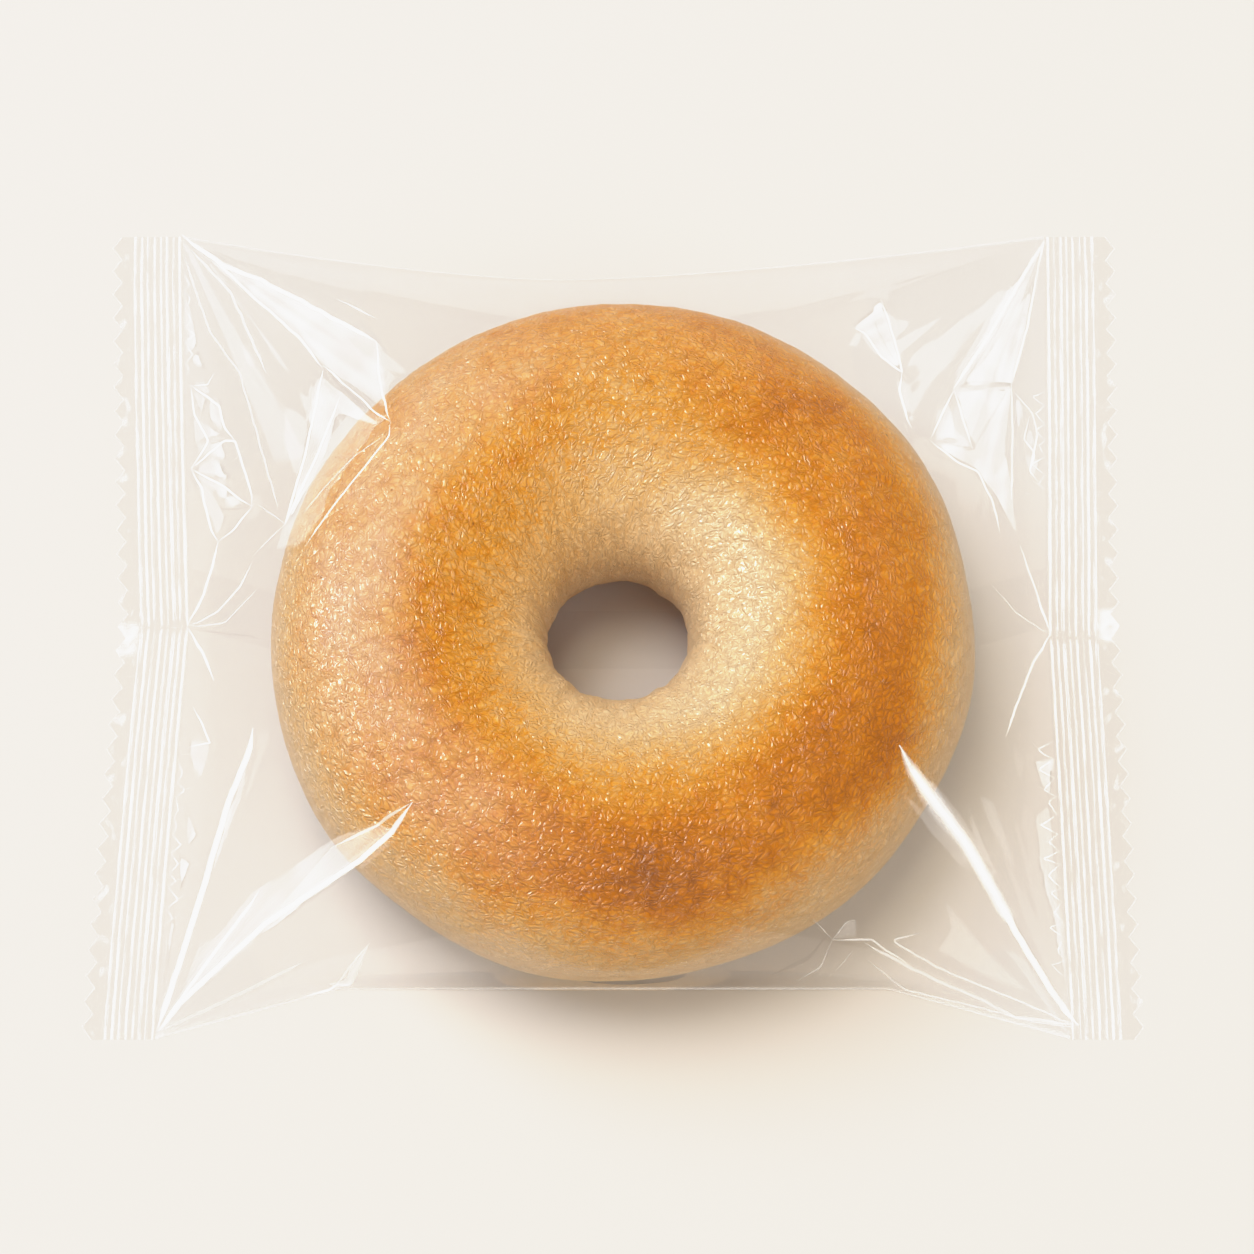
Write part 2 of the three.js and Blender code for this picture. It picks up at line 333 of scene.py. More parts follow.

# Sharp folds drawn as fine lines, pale ones as painted highlights and dark ones as painted shadow lines: how
# wide, how pale (less than 0 for a darker line), and the line.
FOLD_LINES = [
    # Back left kite, the band below it and the fold that runs on over the bagel's shoulder.
    (0.7, 0.8, [(-63.3, 60.8), (-56.9, 54.6), (-50.8, 50.9), (-39.8, 42.9), (-33.8, 38.6)]),
    (0.4, 0.8, [(-63.3, 60.8), (-57.7, 55.2), (-52.2, 48.7), (-44.8, 40.6), (-41.5, 35.5)]),
    (0.4, 0.7, [(-33.8, 38.6), (-33.1, 31.7), (-31.4, 24.6)]),
    (0.8, -0.9, [(-41.5, 35.5), (-36.6, 29.8), (-31.8, 24.8)]),
    (0.4, 0.9, [(-41.5, 36.1), (-36.4, 30.4), (-31.4, 24.6)]),
    (0.4, 0.9, [(-41.4, 35.1), (-42.4, 29.3), (-43.8, 21.6), (-46.4, 11.7)]),
    (0.4, 0.9, [(-38.9, 30.1), (-41.8, 22.1), (-46.4, 11.7)]),
    (0.4, 0.65, [(-31.4, 24.6), (-31.5, 21.9), (-34.7, 17.5), (-38.8, 12.5), (-43.2, 6.9)]),
    (0.3, 0.4, [(-31.7, 22.4), (-36.3, 19.9), (-40.8, 15.9), (-44.1, 12.2)]),
    (0.4, 0.3, [(-62.8, 57.2), (-58.6, 44.7), (-53.8, 36.8), (-49.3, 20.9), (-47.5, 14.6)]),
    (0.5, 0.35, [(-61.9, 58.3), (-55.5, 49.7), (-49.8, 35.9)]),
    (0.5, 0.35, [(-39.9, 46.8), (-33.9, 42.6)]),
    (0.3, 0.35, [(-46.4, 11.7), (-50.5, 16)]),
    (0.3, 0.35, [(-46.4, 11.7), (-51, 7.9)]),
    # Left crumples, from their two pinches.
    (0.35, 0.9, [(-61.2, 36.8), (-57, 33.1), (-56, 29.5), (-54.3, 26.7)]),
    (0.3, 0.9, [(-61.2, 36.8), (-60.5, 32.1), (-58.3, 27.6), (-60.8, 23.8)]),
    (0.3, 0.8, [(-61.2, 36.8), (-58.7, 36.5), (-57.7, 38)]),
    (0.35, 0.9, [(-60.8, 23.8), (-56, 27.4), (-54.3, 26.7), (-52.6, 21.4), (-51.5, 17.8), (-51.6, 16.4)]),
    (0.3, 0.9, [(-60.8, 23.8), (-56.6, 20.9), (-51.6, 16.4)]),
    (0.35, 0.9, [(-60.8, 23.8), (-59.1, 20.4), (-57.6, 14), (-56.4, 11.9)]),
    (0.35, 0.9, [(-51.2, 16.6), (-54.2, 13), (-56.4, 11.9)]),
    (0.3, -0.9, [(-57.4, 17.7), (-55.1, 16.4), (-51.5, 16.4)]),
    # The pinched middle of the left seal.
    (0.45, 0.95, [(-56.4, 11.9), (-57.1, 8.2), (-58.4, 3.9), (-60.6, -0.2)]),
    (0.4, 0.5, [(-60.6, -0.2), (-56.1, 0.8), (-52.8, 3.6), (-51.2, 6.8)]),
    (0.3, 0.35, [(-60.6, -0.2), (-54.9, -1.2), (-50, 2.6)]),
    (0.3, -0.6, [(-60.6, -0.4), (-51.2, -4.4), (-48.9, -5.6)]),
    (0.4, 0.95, [(-60.6, -0.5), (-58.2, -4.6), (-56.3, -9.6)]),
    (0.3, 0.8, [(-59.3, -12.7), (-57.8, -15.9), (-56.7, -18.5), (-59.9, -18.8)]),
    # Front left: the edges of the spike, its branch, and folds along the front.
    (0.6, 0.45, [(-27.4, -32.1), (-31.2, -33.4), (-34.8, -34.8), (-38.9, -36.4)]),
    (1, 0.75, [
        (-27.4, -32.1), (-30.2, -35), (-34.8, -38.7), (-47.7, -46.2), (-59.8, -56.4), (-62.8, -60.1)]),
    (0.6, 0.8, [(-48.9, -41.5), (-50.4, -43.8), (-54.9, -49.5), (-62.8, -60.1)]),
    (1.1, 0.85, [(-50.3, -18), (-50.7, -20.9), (-53.6, -28.3), (-56.6, -39.3), (-62.8, -59.5)]),
    (1.3, 0.7, [(-33.7, -49.8), (-36.6, -53.2), (-39.2, -53.4)]),
    (0.4, 0.8, [(-33.4, -49.4), (-39, -54), (-42.8, -55.1)]),
    (0.6, 0.3, [(-62.8, -60.1), (-51.2, -55.2), (-42.7, -51.5)]),
    # Back right kite: its edges, the folds between its panels, and the crumples beside it.
    (0.6, 0.8, [(63.1, 59.8), (54.2, 42.7), (48.9, 33.8)]),
    (0.35, -0.9, [(62.7, 59), (55.4, 43.6), (50.2, 34.5)]),
    (0.4, 0.9, [(63.1, 59.8), (62, 55.2), (60, 45), (57.5, 35.9)]),
    (0.35, -0.8, [(48.9, 33.8), (51.5, 35.2), (57.5, 35.9)]),
    (0.4, 0.8, [(48.9, 33.3), (51.4, 24.6)]),
    (0.4, -0.9, [(57.4, 35.8), (51.4, 24.6)]),
    (0.35, 0.9, [(45.3, 25.3), (48.8, 33.3)]),
    (0.35, -0.8, [(45.3, 25.3), (51.4, 24.6)]),
    (0.4, 0.9, [(45.2, 24.9), (49.1, 22.2), (52.1, 21.3), (54.2, 16.7), (55, 12.1)]),
    (0.4, 0.7, [(57.4, 35.8), (57.4, 28.5), (56.9, 17.6)]),
    (0.35, 0.9, [(57.8, 34.5), (60.4, 32), (61.2, 29), (59.8, 23), (61, 21.7)]),
    (0.3, 0.8, [(60, 31.4), (59.1, 27.8), (60.7, 25.8), (59.8, 23)]),
    # The star, its folds and its tail.
    (0.35, 0.9, [(34, 41), (36.1, 40.2), (38.2, 37.1), (41.3, 34.9), (40.4, 39.7), (38.4, 46.1)]),
    (0.3, -0.9, [(37.1, 44), (38, 40.6), (41, 35.4)]),
    (0.45, 0.9, [(41.3, 34.9), (40.8, 31.8), (42, 27.2), (42.5, 25.9)]),
    # The pinched middle of the right seal.
    (0.4, 0.9, [(62.2, -1.5), (59.6, -6.1), (57.2, -12.4), (55, -18.7)]),
    (0.4, 0.8, [(62.2, -1.5), (60.3, 4.5), (58, 11)]),
    (0.3, 0.4, [(62.2, -1.5), (57, 0.5), (53.5, 3.5)]),
    # Front right: the spike, the folds of the corner, and the pinch at the bagel's foot.
    (2.4, 0.5, [(39.5, -23.3), (42.8, -27.7), (49, -35.7), (55.7, -47.2)]),
    (1.1, 0.9, [(39.5, -23.3), (42.8, -27.7), (49, -35.7), (55.7, -47.2), (60.4, -54.4), (64.3, -59.2)]),
    (0.45, 0.5, [(64.3, -59.2), (55.6, -58), (48.5, -54.9), (40.8, -52), (34.7, -49.5)]),
    (0.35, 0.4, [(64.3, -59.2), (52.9, -55.1), (44, -51.9), (38.5, -49.1), (42.2, -48.1)]),
    (0.3, 0.35, [(64.3, -59.6), (57.9, -58.6), (48.9, -56.2), (40.9, -54.2), (35.2, -51.2)]),
    (0.3, 0.3, [(30.2, -49.2), (27.4, -47)]),
    (0.25, 0.3, [(30.2, -49.2), (32, -47.2), (33.3, -46.9)]),
    (0.3, 0.5, [(30.2, -49.2), (35.6, -49.1), (38.2, -50.5), (41.3, -52)]),
    (0.3, 0.3, [(30.2, -49.2), (28.6, -51.9), (25.5, -53)]),
    (0.25, 0.4, [(33, -50.3), (30.8, -52.2)]),
    (0.5, -0.8, [(29.6, -48.6), (27, -51), (22, -52.5)]),
]

# Stretches along a seal where the film is folded into a row of small triangles: side, from where to where
# across the pack, and how far they reach from the seal.
CRUMPLE_ROWS = [
    (-1, 54, 38, 1.6), (-1, -21, -46, 1.8), (1, 36, 19, 2.4), (1, -18, -52, 2.6),
]
TRIANGLE_PITCH = 1.3

# A facet's outline is a ramp this wide, and wanders this far off its straight sides over this length.
FACET_EDGE = 0.35
FACET_JOG = 0.2
FACET_JOG_LENGTH = 1.5
# How much less a facet shines when its gloss is soft.
SOFT_LOSS = 0.55
CRUMPLE_SIZE = 2.0
CRUMPLE_HEIGHT = 0.13
# The lights that the facets throw at the camera, one for each side.
LIGHT_DISTANCE = 2400.0
GLINT_AZIMUTH = {-1: 151.2, 1: 28.8}
GLINT_ELEVATION = 44.0
# The solver of the film's form: how much stiffer a facet is than slack film, how weakly all of it is drawn
# back to its taut form, and its steps on each of its grids, from coarse to fine.
SLACK_WEIGHT = 0.012
RETURN_WEIGHT = 0.00001
SOLVER_STEPS = 200
SOLVER_STRIDES = (8, 4, 2, 1)
AHEAD_AND_BEHIND = (
    ((slice(1, None), slice(None)), (slice(None, -1), slice(None))),
    ((slice(None), slice(1, None)), (slice(None), slice(None, -1))),
)
# How far film stays above the dough, in the solver and in the end.
SOLVER_GAP = 0.05
FILM_GAP = 0.12


def towards(azimuth, elevation):
    """The direction of an azimuth (from +X towards +Y) and an elevation, in degrees."""
    a, e = math.radians(azimuth), math.radians(elevation)
    return np.array([math.cos(a) * math.cos(e), math.sin(a) * math.cos(e), math.sin(e)])


def slopes_to_flash(side, points):
    """Slopes along X and Y of film that mirrors the light of one side into the camera, at each point."""
    to_light = towards(GLINT_AZIMUTH[side], GLINT_ELEVATION) * LIGHT_DISTANCE - points
    to_camera = np.array(CAMERA_PLACE) - points
    normal = to_light / np.linalg.norm(to_light, axis=-1, keepdims=True)
    normal = normal + to_camera / np.linalg.norm(to_camera, axis=-1, keepdims=True)
    return -normal[..., 0] / normal[..., 2], -normal[..., 1] / normal[..., 2]


def inside_outline(x, y, outline):
    """1 well inside an outline, 0 well outside it, and a narrow ramp between."""
    nearest = np.full(x.shape, 1e9)
    inside = np.zeros(x.shape, bool)
    for (x0, y0), (x1, y1) in zip(outline, outline[1:] + outline[:1]):
        dx, dy = x1 - x0, y1 - y0
        along = np.clip(((x - x0) * dx + (y - y0) * dy) / (dx * dx + dy * dy), 0.0, 1.0)
        nearest = np.minimum(nearest, np.hypot(x - x0 - along * dx, y - y0 - along * dy))
        crosses = ((y0 > y) != (y1 > y)) & (x < x0 + (y - y0) * dx / (dy if dy else 1e-9))
        inside ^= crosses
    signed = np.where(inside, nearest, -nearest)
    return smoothstep(-FACET_EDGE / 2, FACET_EDGE / 2, signed)


def settled(want_s, want_t, near_s, near_t, fixed, height, pull_back):
    """Heights whose steps from point to point are nearest to those wanted (least squares, by conjugate
    gradients from a first guess). Off the facets the film is slack and gives most. Fixed points keep the
    height that they have."""
    weight_s = SLACK_WEIGHT + (1.0 - SLACK_WEIGHT) * near_s
    weight_t = SLACK_WEIGHT + (1.0 - SLACK_WEIGHT) * near_t
    loose = ~fixed

    def gathered(along_s, along_t, sign):
        total = np.zeros(height.shape)
        total[1:] += along_s
        total[:-1] += sign * along_s
        total[:, 1:] += along_t
        total[:, :-1] += sign * along_t
        return total

    def pulled(heights):
        step_s, step_t = np.diff(heights, axis=0), np.diff(heights, axis=1)
        steps = gathered(weight_s * step_s, weight_t * step_t, -1.0)
        return (steps + pull_back * heights) * loose

    rest = gathered(weight_s * want_s, weight_t * want_t, -1.0) * loose - pulled(height)
    scale = 1.0 / (gathered(weight_s, weight_t, 1.0) + pull_back)
    step = rest * scale
    energy = np.sum(rest * step)
    for _ in range(SOLVER_STEPS):
        change = pulled(step)
        share = energy / np.sum(step * change)
        height = height + share * step
        rest = rest - share * change
        next_energy = np.sum(rest * rest * scale)
        step = rest * scale + next_energy / energy * step
        energy = next_energy
    return height


def doubled(height):
    """A grid twice as fine, with the old points in place and the new ones halfway."""
    tall = np.repeat(height, 2, axis=0)[:-1]
    tall[1::2] = (height[1:] + height[:-1]) / 2
    wide = np.repeat(tall, 2, axis=1)[:, :-1]
    wide[:, 1::2] = (tall[:, 1:] + tall[:, :-1]) / 2
    return wide


def folded(x, y, base, dough, fixed):
    """How far the film stands off its taut form so that its facets face as listed, where the facets are,
    and how soft their gloss is. All are grids. The slack film between the facets takes up what they leave,
    and all of it stays above the dough."""
    jog_x = x + FACET_JOG * facet_noise(x / FACET_JOG_LENGTH, y / FACET_JOG_LENGTH, 61)
    jog_y = y + FACET_JOG * facet_noise(x / FACET_JOG_LENGTH, y / FACET_JOG_LENGTH, 62)
    crumple = facet_noise(x / CRUMPLE_SIZE, y / CRUMPLE_SIZE, 91)
    crumple += 0.5 * facet_noise(x / CRUMPLE_SIZE * 2.3, y / CRUMPLE_SIZE * 2.1, 92)
    crumple *= CRUMPLE_HEIGHT
    slopes = {side: slopes_to_flash(side, np.stack([x, y, base], axis=-1)) for side in (-1, 1)}
    members = []
    lit, soft = np.zeros(x.shape), np.zeros(x.shape)
    for side, softness, crumpled, outline in FACETS:
        member = inside_outline(jog_x, jog_y, outline)
        lit = np.maximum(lit, member * (1.0 - SOFT_LOSS * softness))
        soft = np.maximum(soft, member * softness)
        members.append((member, crumpled, slopes[side]))
    fixed = fixed & (lit < 0.05)
    lowest_height = dough + SOLVER_GAP - base
    height = None
    for stride in SOLVER_STRIDES:
        part = (slice(None, None, stride),) * 2
        shape = x[part].shape
        near_s, near_t = np.zeros((shape[0] - 1, shape[1])), np.zeros((shape[0], shape[1] - 1))
        want_s, want_t = near_s.copy(), near_t.copy()
        for member, crumpled, (slope_x, slope_y) in members:
            member = member[part]
            rough = crumpled * crumple[part] - base[part]
            for axis, near, want in ((0, near_s, want_s), (1, near_t, want_t)):
                ahead, behind = AHEAD_AND_BEHIND[axis]
                share = np.minimum((member[ahead] + member[behind]) / 2, 1.0 - near)
                near += share
                want += share * (
                    slope_x[part][behind] * np.diff(x[part], axis=axis)
                    + slope_y[part][behind] * np.diff(y[part], axis=axis) + np.diff(rough, axis=axis))
        height = np.zeros(shape) if height is None else doubled(height)
        held = fixed[part]
        height[held] = 0.0
        for _ in range(2):
            height = settled(want_s, want_t, near_s, near_t, held, height, RETURN_WEIGHT * stride ** 2)
            held = held | (height < lowest_height[part])
            height = np.maximum(height, lowest_height[part])
    return height, lit, soft


# Stretches along the seals where the film is slightly crumpled: side, middle and half length across the
# pack, and how far the crumples reach from the seal.
CRUMPLES = [
    (-1, 26, 15, 9), (-1, -20, 9, 5), (-1, -38, 12, 3.6),
    (1, 28, 9, 5), (1, -20, 4.5, 4), (1, -36, 15, 4.2),
]


def from_corner(x, y, corner_x=SEAL_X, corner_y=HALF_WIDTH):
    """Distance from a corner of the pack and direction from it, in degrees."""
    away_x, away_y = np.abs(corner_x - x), np.abs(corner_y - y)
    return np.hypot(away_x, away_y), np.degrees(np.arctan2(away_x, away_y))


# Fine creases at the corners: how wide they are, in degrees, how long, and how high for each millimetre from
# the corner, up to a radius. They fade out between two radii.
SECTORS = (6.0, 50.0, 0.007)
FINE_SECTORS = (2.1, 28.0, 0.0035)
FAN_RADIUS = 26.0
FAN_FADE = (75.0, 30.0)
# Slack film's waves: how high and how wide.
WAVES = (0.06, 11.0)
FINE_WAVES = (0.012, 4.0)


def fan(x, y, corner_x, corner_y, seed):
    """Height of fine creases that spread from one corner of the pack, as flat sectors."""
    radius, angle = from_corner(x, y, corner_x, corner_y)
    height = 0.0
    for k, (degrees, length, steepness) in enumerate((SECTORS, FINE_SECTORS)):
        height = height + steepness * facet_noise(angle / degrees, radius / length, seed + k)
    return np.minimum(radius, FAN_RADIUS) * smoothstep(*FAN_FADE, radius) * height


def crumples(x, y):
    """Height of the slight crumples along the seals."""
    height = np.zeros_like(x)
    for k, (end, middle, half, reach) in enumerate(CRUMPLES):
        inwards = SEAL_X - end * x
        depth = smoothstep(0.0, 1.0, inwards) * smoothstep(reach, 0.45 * reach, inwards)
        stretch = smoothstep(half, 0.6 * half, np.abs(y - middle))
        size = 1.6 + 0.22 * reach
        coarse = facet_noise(inwards / size, y / (1.3 * size), 91 + k)
        fine = facet_noise(inwards / (0.45 * size), y / (0.5 * size), 191 + k)
        height += depth * stretch * (0.05 * size * coarse + 0.03 * size * fine)
    return height


def film_relief(x, y):
    """Height that fine creases, crumples and slackness add to the film."""
    flat = flat_points(x.ravel(), y.ravel())
    height = (bumps(flat, WAVES, 71) + bumps(flat, FINE_WAVES, 72)).reshape(x.shape)
    for k, (sx, sy) in enumerate(itertools.product((-1, 1), (-1, 1))):
        height += fan(x, y, sx * SEAL_X, sy * HALF_WIDTH, 11 + 5 * k)
    return height + crumples(x, y)


# The film's pieces --------------------

FILM_COLUMNS = 321
FILM_ROWS = 305
# Heights over the dough between which the film's creases grow, and between which it looks free of the bagel.
LOOSE = (0.2, 2.5)
FREE = (1.2, 4.0)
# How far from the seals and from the edges the film is still held flat, and how much flatter a facet is.
HELD_BY_SEAL = 1.5
HELD_BY_EDGE = 3.0
FACET_FLATNESS = 0.85
# How a facet shines: evenly, in patches and in streaks from the corner, and its least and most.
EVEN_SHINE = 0.42
PATCH_SHINE = 0.6
STREAK_SHINE = 0.7
SHINE_RANGE = (0.04, 1.2)
# The film's fold at the pack's back and front edges, whitened as a painted highlight: how strongly, and how
# wide.
EDGE_HIGHLIGHT_BACK = 0.15
EDGE_HIGHLIGHT_FRONT = 0.35
EDGE_WIDTH = 0.7
# The underside: points along and across the film, its height over the table, and the seam along it.
BOTTOM_GRID = (170, 160)
BOTTOM_Z = 0.25
SEAM_GRID = (130, 19)
SEAM_WIDTH = 9.0
SEAM_GAP = 0.1
SEAM_FREE = 0.2

# Cross section of the strip that draws a fold: places from its middle line, in half widths, and how strong.
STRIP_ACROSS = np.array([-1.0, -0.5, 0.0, 0.5, 1.0])
STRIP_FADE = np.array([0.0, 0.85, 1.0, 0.85, 0.0])
STRIP_STEP = 0.5
# How far a fold wanders, how far from its ends it narrows, and how far it stays over the film and over the
# bagel's plain ring, whose crust has relief.
UNSTEADY = 0.1
TAPER = 3.0
ABOVE_FILM = 0.05
ABOVE_CRUST = 1.0


def top_form():
    """Grids of x, y and z of the top film, and what its material needs to know at each point: how free it
    stands of the bagel, how soft its gloss is, how strongly it shines and how much painted highlight and
    sheen it carries."""
    columns = np.linspace(-SEAL_X, SEAL_X, FILM_COLUMNS)
    rows = np.linspace(-HALF_WIDTH, HALF_WIDTH, FILM_ROWS)
    s, t = np.meshgrid(columns, rows, indexing="ij")
    x, y = plan_of(s, t)
    hull = taut_height(s, t, 1)
    dough = dough_height(x, y, 1)
    from_hole = np.hypot(x - BAGEL_X, y - BAGEL_Y) / RING_RADIUS
    dish = np.where(from_hole < 1.0, DISH_DEPTH * (1.0 - from_hole ** 2) ** 2, 0.0)
    base = np.maximum(hull - dish, dough)
    edge = (np.abs(s) > SEAL_X - 0.1) | (np.abs(t) > HALF_WIDTH - 0.1)
    stand_off, lit, soft = folded(x, y, base, dough, edge | (from_hole < 1.0) | (base - dough < 0.1))
    loose = np.where(from_hole < 1.0, 0.0, smoothstep(*LOOSE, base + stand_off - dough))
    held = smoothstep(0.0, HELD_BY_SEAL, SEAL_X - np.abs(s))
    held *= smoothstep(0.0, HELD_BY_EDGE, HALF_WIDTH - np.abs(t))
    relief = film_relief(x, y) * (1.0 - FACET_FLATNESS * lit)
    z = np.maximum(base + stand_off + relief * loose * held, dough) + FILM_GAP
    free = np.where(from_hole < 1.0, 0.0, np.maximum(smoothstep(*FREE, z - dough), lit))
    mottle = facet_noise(x / 3.0, y / 3.0, 95)
    radius, angle = from_corner(np.abs(x), np.abs(y))
    streaks = facet_noise(angle / 2.0, radius / 18.0, 96)
    shine = lit * np.clip(EVEN_SHINE + PATCH_SHINE * mottle + STREAK_SHINE * streaks, *SHINE_RANGE)
    # Painted sheen on the slack patches, and a painted highlight along the back and front edge folds.
    painted_film_highlight = np.max([strength * inside_outline(x, y, outline) for strength, outline in SHEEN_PATCHES], axis=0)
    on_edge = smoothstep(EDGE_WIDTH, 0.3 * EDGE_WIDTH, HALF_WIDTH - np.abs(t))
    painted_film_highlight = np.maximum(painted_film_highlight, np.where(t > 0, EDGE_HIGHLIGHT_BACK, EDGE_HIGHLIGHT_FRONT) * on_edge)
    return (x, y, z), [("free", free), ("soft", soft), ("shine", shine), ("painted_film_highlight", painted_film_highlight)]


def film_top(material, place, layers):
    points = np.stack(place, axis=-1).reshape(-1, 3)
    return make_piece("film_top", points, grid_faces(FILM_COLUMNS, FILM_ROWS), material, layers)


def height_on_film(z, x, y):
    """Height of the top film, whose grid of heights is z, over points in plan."""
    s, t = x, y
    for _ in range(12):
        plan_x, plan_y = plan_of(s, t)
        s, t = s + x - plan_x, t + y - plan_y
    at_s = np.clip((s / SEAL_X + 1.0) / 2.0, 0.0, 0.9999) * (FILM_COLUMNS - 1)
    at_t = np.clip((t / HALF_WIDTH + 1.0) / 2.0, 0.0, 0.9999) * (FILM_ROWS - 1)
    i, j = at_s.astype(int), at_t.astype(int)
    a, b = at_s - i, at_t - j
    near = z[i, j] * (1.0 - b) + z[i, j + 1] * b
    far = z[i + 1, j] * (1.0 - b) + z[i + 1, j + 1] * b
    return near * (1.0 - a) + far * a


def resampled(route):
    """The same line with points at even steps, a little unsteady as a fold is, and how far each point is
    from the nearer end."""
    route = np.array(route, float)
    lengths = np.concatenate([[0.0], np.cumsum(np.hypot(*np.diff(route, axis=0).T))])
    at = np.linspace(0.0, lengths[-1], max(3, int(lengths[-1] / STRIP_STEP)))
    points = np.stack([np.interp(at, lengths, route[:, k]) for k in (0, 1)], axis=1)
    ends = np.minimum(at, lengths[-1] - at)
    shake = smooth_noise(flat_points(*points.T), 2.2, 77)
    points[:, 0] += UNSTEADY * shake * smoothstep(0.0, 1.5, ends)
    points[:, 1] += UNSTEADY * np.roll(shake, 1) * smoothstep(0.0, 1.5, ends)
    return points, ends


def crumple_lines():
    """The folds of the small triangles beside the seals, drawn as painted highlight lines: a zigzag, and
    short creases from its tips.
    """
    lines = []
    for row, (side, start, end, reach) in enumerate(CRUMPLE_ROWS):
        count = int(abs(end - start) / TRIANGLE_PITCH)
        chance = [hashed(300 + row, np.arange(count + 1), np.full(count + 1, k)) for k in range(3)]
        zigzag = []
        for k in range(count + 1):
            y = start + (end - start) * (k + 0.7 * (chance[0][k] - 0.5)) / count
            inner = SEAL_X - pull_at(side, y) - 0.1
            away = reach * (0.35 + 0.65 * chance[1][k]) if k % 2 else 0.15
            zigzag.append((side * (inner - away), y))
            if k % 2 and chance[2][k] > 0.4:
                crease_end = (side * (inner - away - 0.9), y + 1.6 * chance[2][k] - 0.8)
                lines.append((0.25, 0.7, [zigzag[-1], crease_end]))
        lines += [(0.3, 0.85, zigzag[k:k + 3]) for k in range(0, count - 1, 2)]
    return lines


def fold_lines(material, z):
    """Narrow strips along the folds of the film, whose grid of heights is z. They are pale, as painted
    highlights, or dark, as painted shadow lines; they fade out to both sides and taper to their ends."""
    points, faces, pale, painted_shade_lines = [], [], [], []
    for width, strength, route in FOLD_LINES + crumple_lines():
        line, to_end = resampled(route)
        along = np.gradient(line, axis=0)
        across = np.stack([-along[:, 1], along[:, 0]], axis=1) / np.linalg.norm(along, axis=1)[:, None]
        half = width / 2 * np.clip(to_end / TAPER, 0.12, 1.0)
        start = sum(len(part) for part in points)
        strip = line[:, None] + across[:, None] * (half[:, None] * STRIP_ACROSS)[:, :, None]
        x, y = strip[..., 0].ravel(), strip[..., 1].ravel()
        on_film = height_on_film(z, x, y) + ABOVE_FILM
        height = np.maximum(on_film, dough_height(x, y, 1) + ABOVE_CRUST)
        points.append(np.stack([x, y, height], axis=1))
        faces.append(start + grid_faces(len(line), len(STRIP_ACROSS)))
        fade = np.tile(STRIP_FADE, len(line))
        pale.append(max(strength, 0.0) * fade)
        painted_shade_lines.append(max(-strength, 0.0) * fade)
    # Pale strips carry painted highlight; dark strips carry painted shade, which the doubled layer shows as
    # darker film.
    layers = [("painted_film_highlight", np.concatenate(pale)), ("doubled", np.concatenate(painted_shade_lines))]
    return make_piece("film_folds", np.concatenate(points), np.concatenate(faces), material, layers)


def underside(name, material, edges, grid, gap, floor, free=None):
    """A sheet under the pack, between two lines along the film tube. It lies gap under the film and no
    lower than floor. free says how free of the bagel it looks, which otherwise follows its height."""
    columns = np.linspace(-SEAL_X, SEAL_X, grid[0])
    rows = np.linspace(*edges, grid[1])
    s, t = flat_grid(columns, rows)
    x, y = plan_of(s, t)
    hull = np.minimum(taut_height(s, t, -1), dough_height(x, y, -1))
    z = np.maximum(hull - gap, floor)
    free = smoothstep(0.5, 6.0, z) if free is None else np.full_like(z, free)
    return make_piece(name, np.stack([x, y, z], axis=1), grid_faces(*grid), material, [("free", free)])


# The seals: the ribs' pitch, width and height, and the painted highlight line on a crest, as a share of the
# pitch.
RIB_PITCH = (SEAL_WIDTH - LIP_WIDTH) / RIB_COUNT
RIB_WIDTH = 0.62
RIB_RISE = 0.074
RIB_LINE = 0.12
# How strong the painted highlights on a seal's outer rim and on the blobs on its lip are.
RIM_HIGHLIGHT = 0.22
BLOB_HIGHLIGHT = 0.3
# Where each seal is pinched, and how far beside that its lip has a painted highlight.
PINCH = {-1: -0.1, 1: -1.7}
BESIDE_PINCH = 1.9
NOTCH_DEPTH = 0.3
# How the seals wave up and down, over their whole width and on the lip.
SEAL_WAVE = 0.12
LIP_WAVE = 0.22
SEAL_ROWS = TOOTH_COUNT * 12 + 1
SEAL_COLUMNS = 130
# The share of the columns that the ribs take.
RIBBED_SHARE = 0.8


def in_rib(distance, t):
    """Which rib of a seal a place is on, and how far from the rib's middle it is, from -0.5 to 0.5."""
    wander = 0.04 * smooth_noise(flat_points(0.6 * distance, t), 6.0, 33)
    ribs = (distance + wander) * RIB_COUNT / (SEAL_WIDTH - LIP_WIDTH)
    return np.floor(ribs), ribs % 1.0 - 0.5


def rib_height(distance, t):
    """Cross section of a seal: rounded ribs up to the lip, each of its own height and a little uneven."""
    rib, place = in_rib(distance, t)
    uneven = 1.0 + 0.35 * smooth_noise(flat_points(distance, 0.2 * t), 1.1, 34)
    rise = RIB_RISE * (0.5 + 0.8 * hashed(86, rib)) * uneven
    share = np.clip(place * RIB_PITCH / RIB_WIDTH, -0.5, 0.5)
    last = RIB_PITCH * RIB_COUNT
    ribbed = smoothstep(0.0, 0.3, distance) * smoothstep(last, last - 0.3, distance)
    return rise * (0.5 + 0.5 * np.cos(2 * math.pi * share)) * ribbed


def rib_lines(distance, t, middle):
    """How much painted highlight each rib's crest has: a fine white line, stronger on some ribs, broken at
    the seal's pinch.
    """
    rib, place = in_rib(distance, t)
    strength = 0.1 + 0.7 * hashed(83, rib) + 0.5 * smooth_noise(flat_points(rib * 7.0, t), 4.0, 84)
    line = np.exp(-(place / RIB_LINE) ** 2) * (distance < SEAL_WIDTH - LIP_WIDTH)
    return np.clip(strength, 0.0, 0.9) * line * smoothstep(0.15, 0.5, np.abs(t - middle))


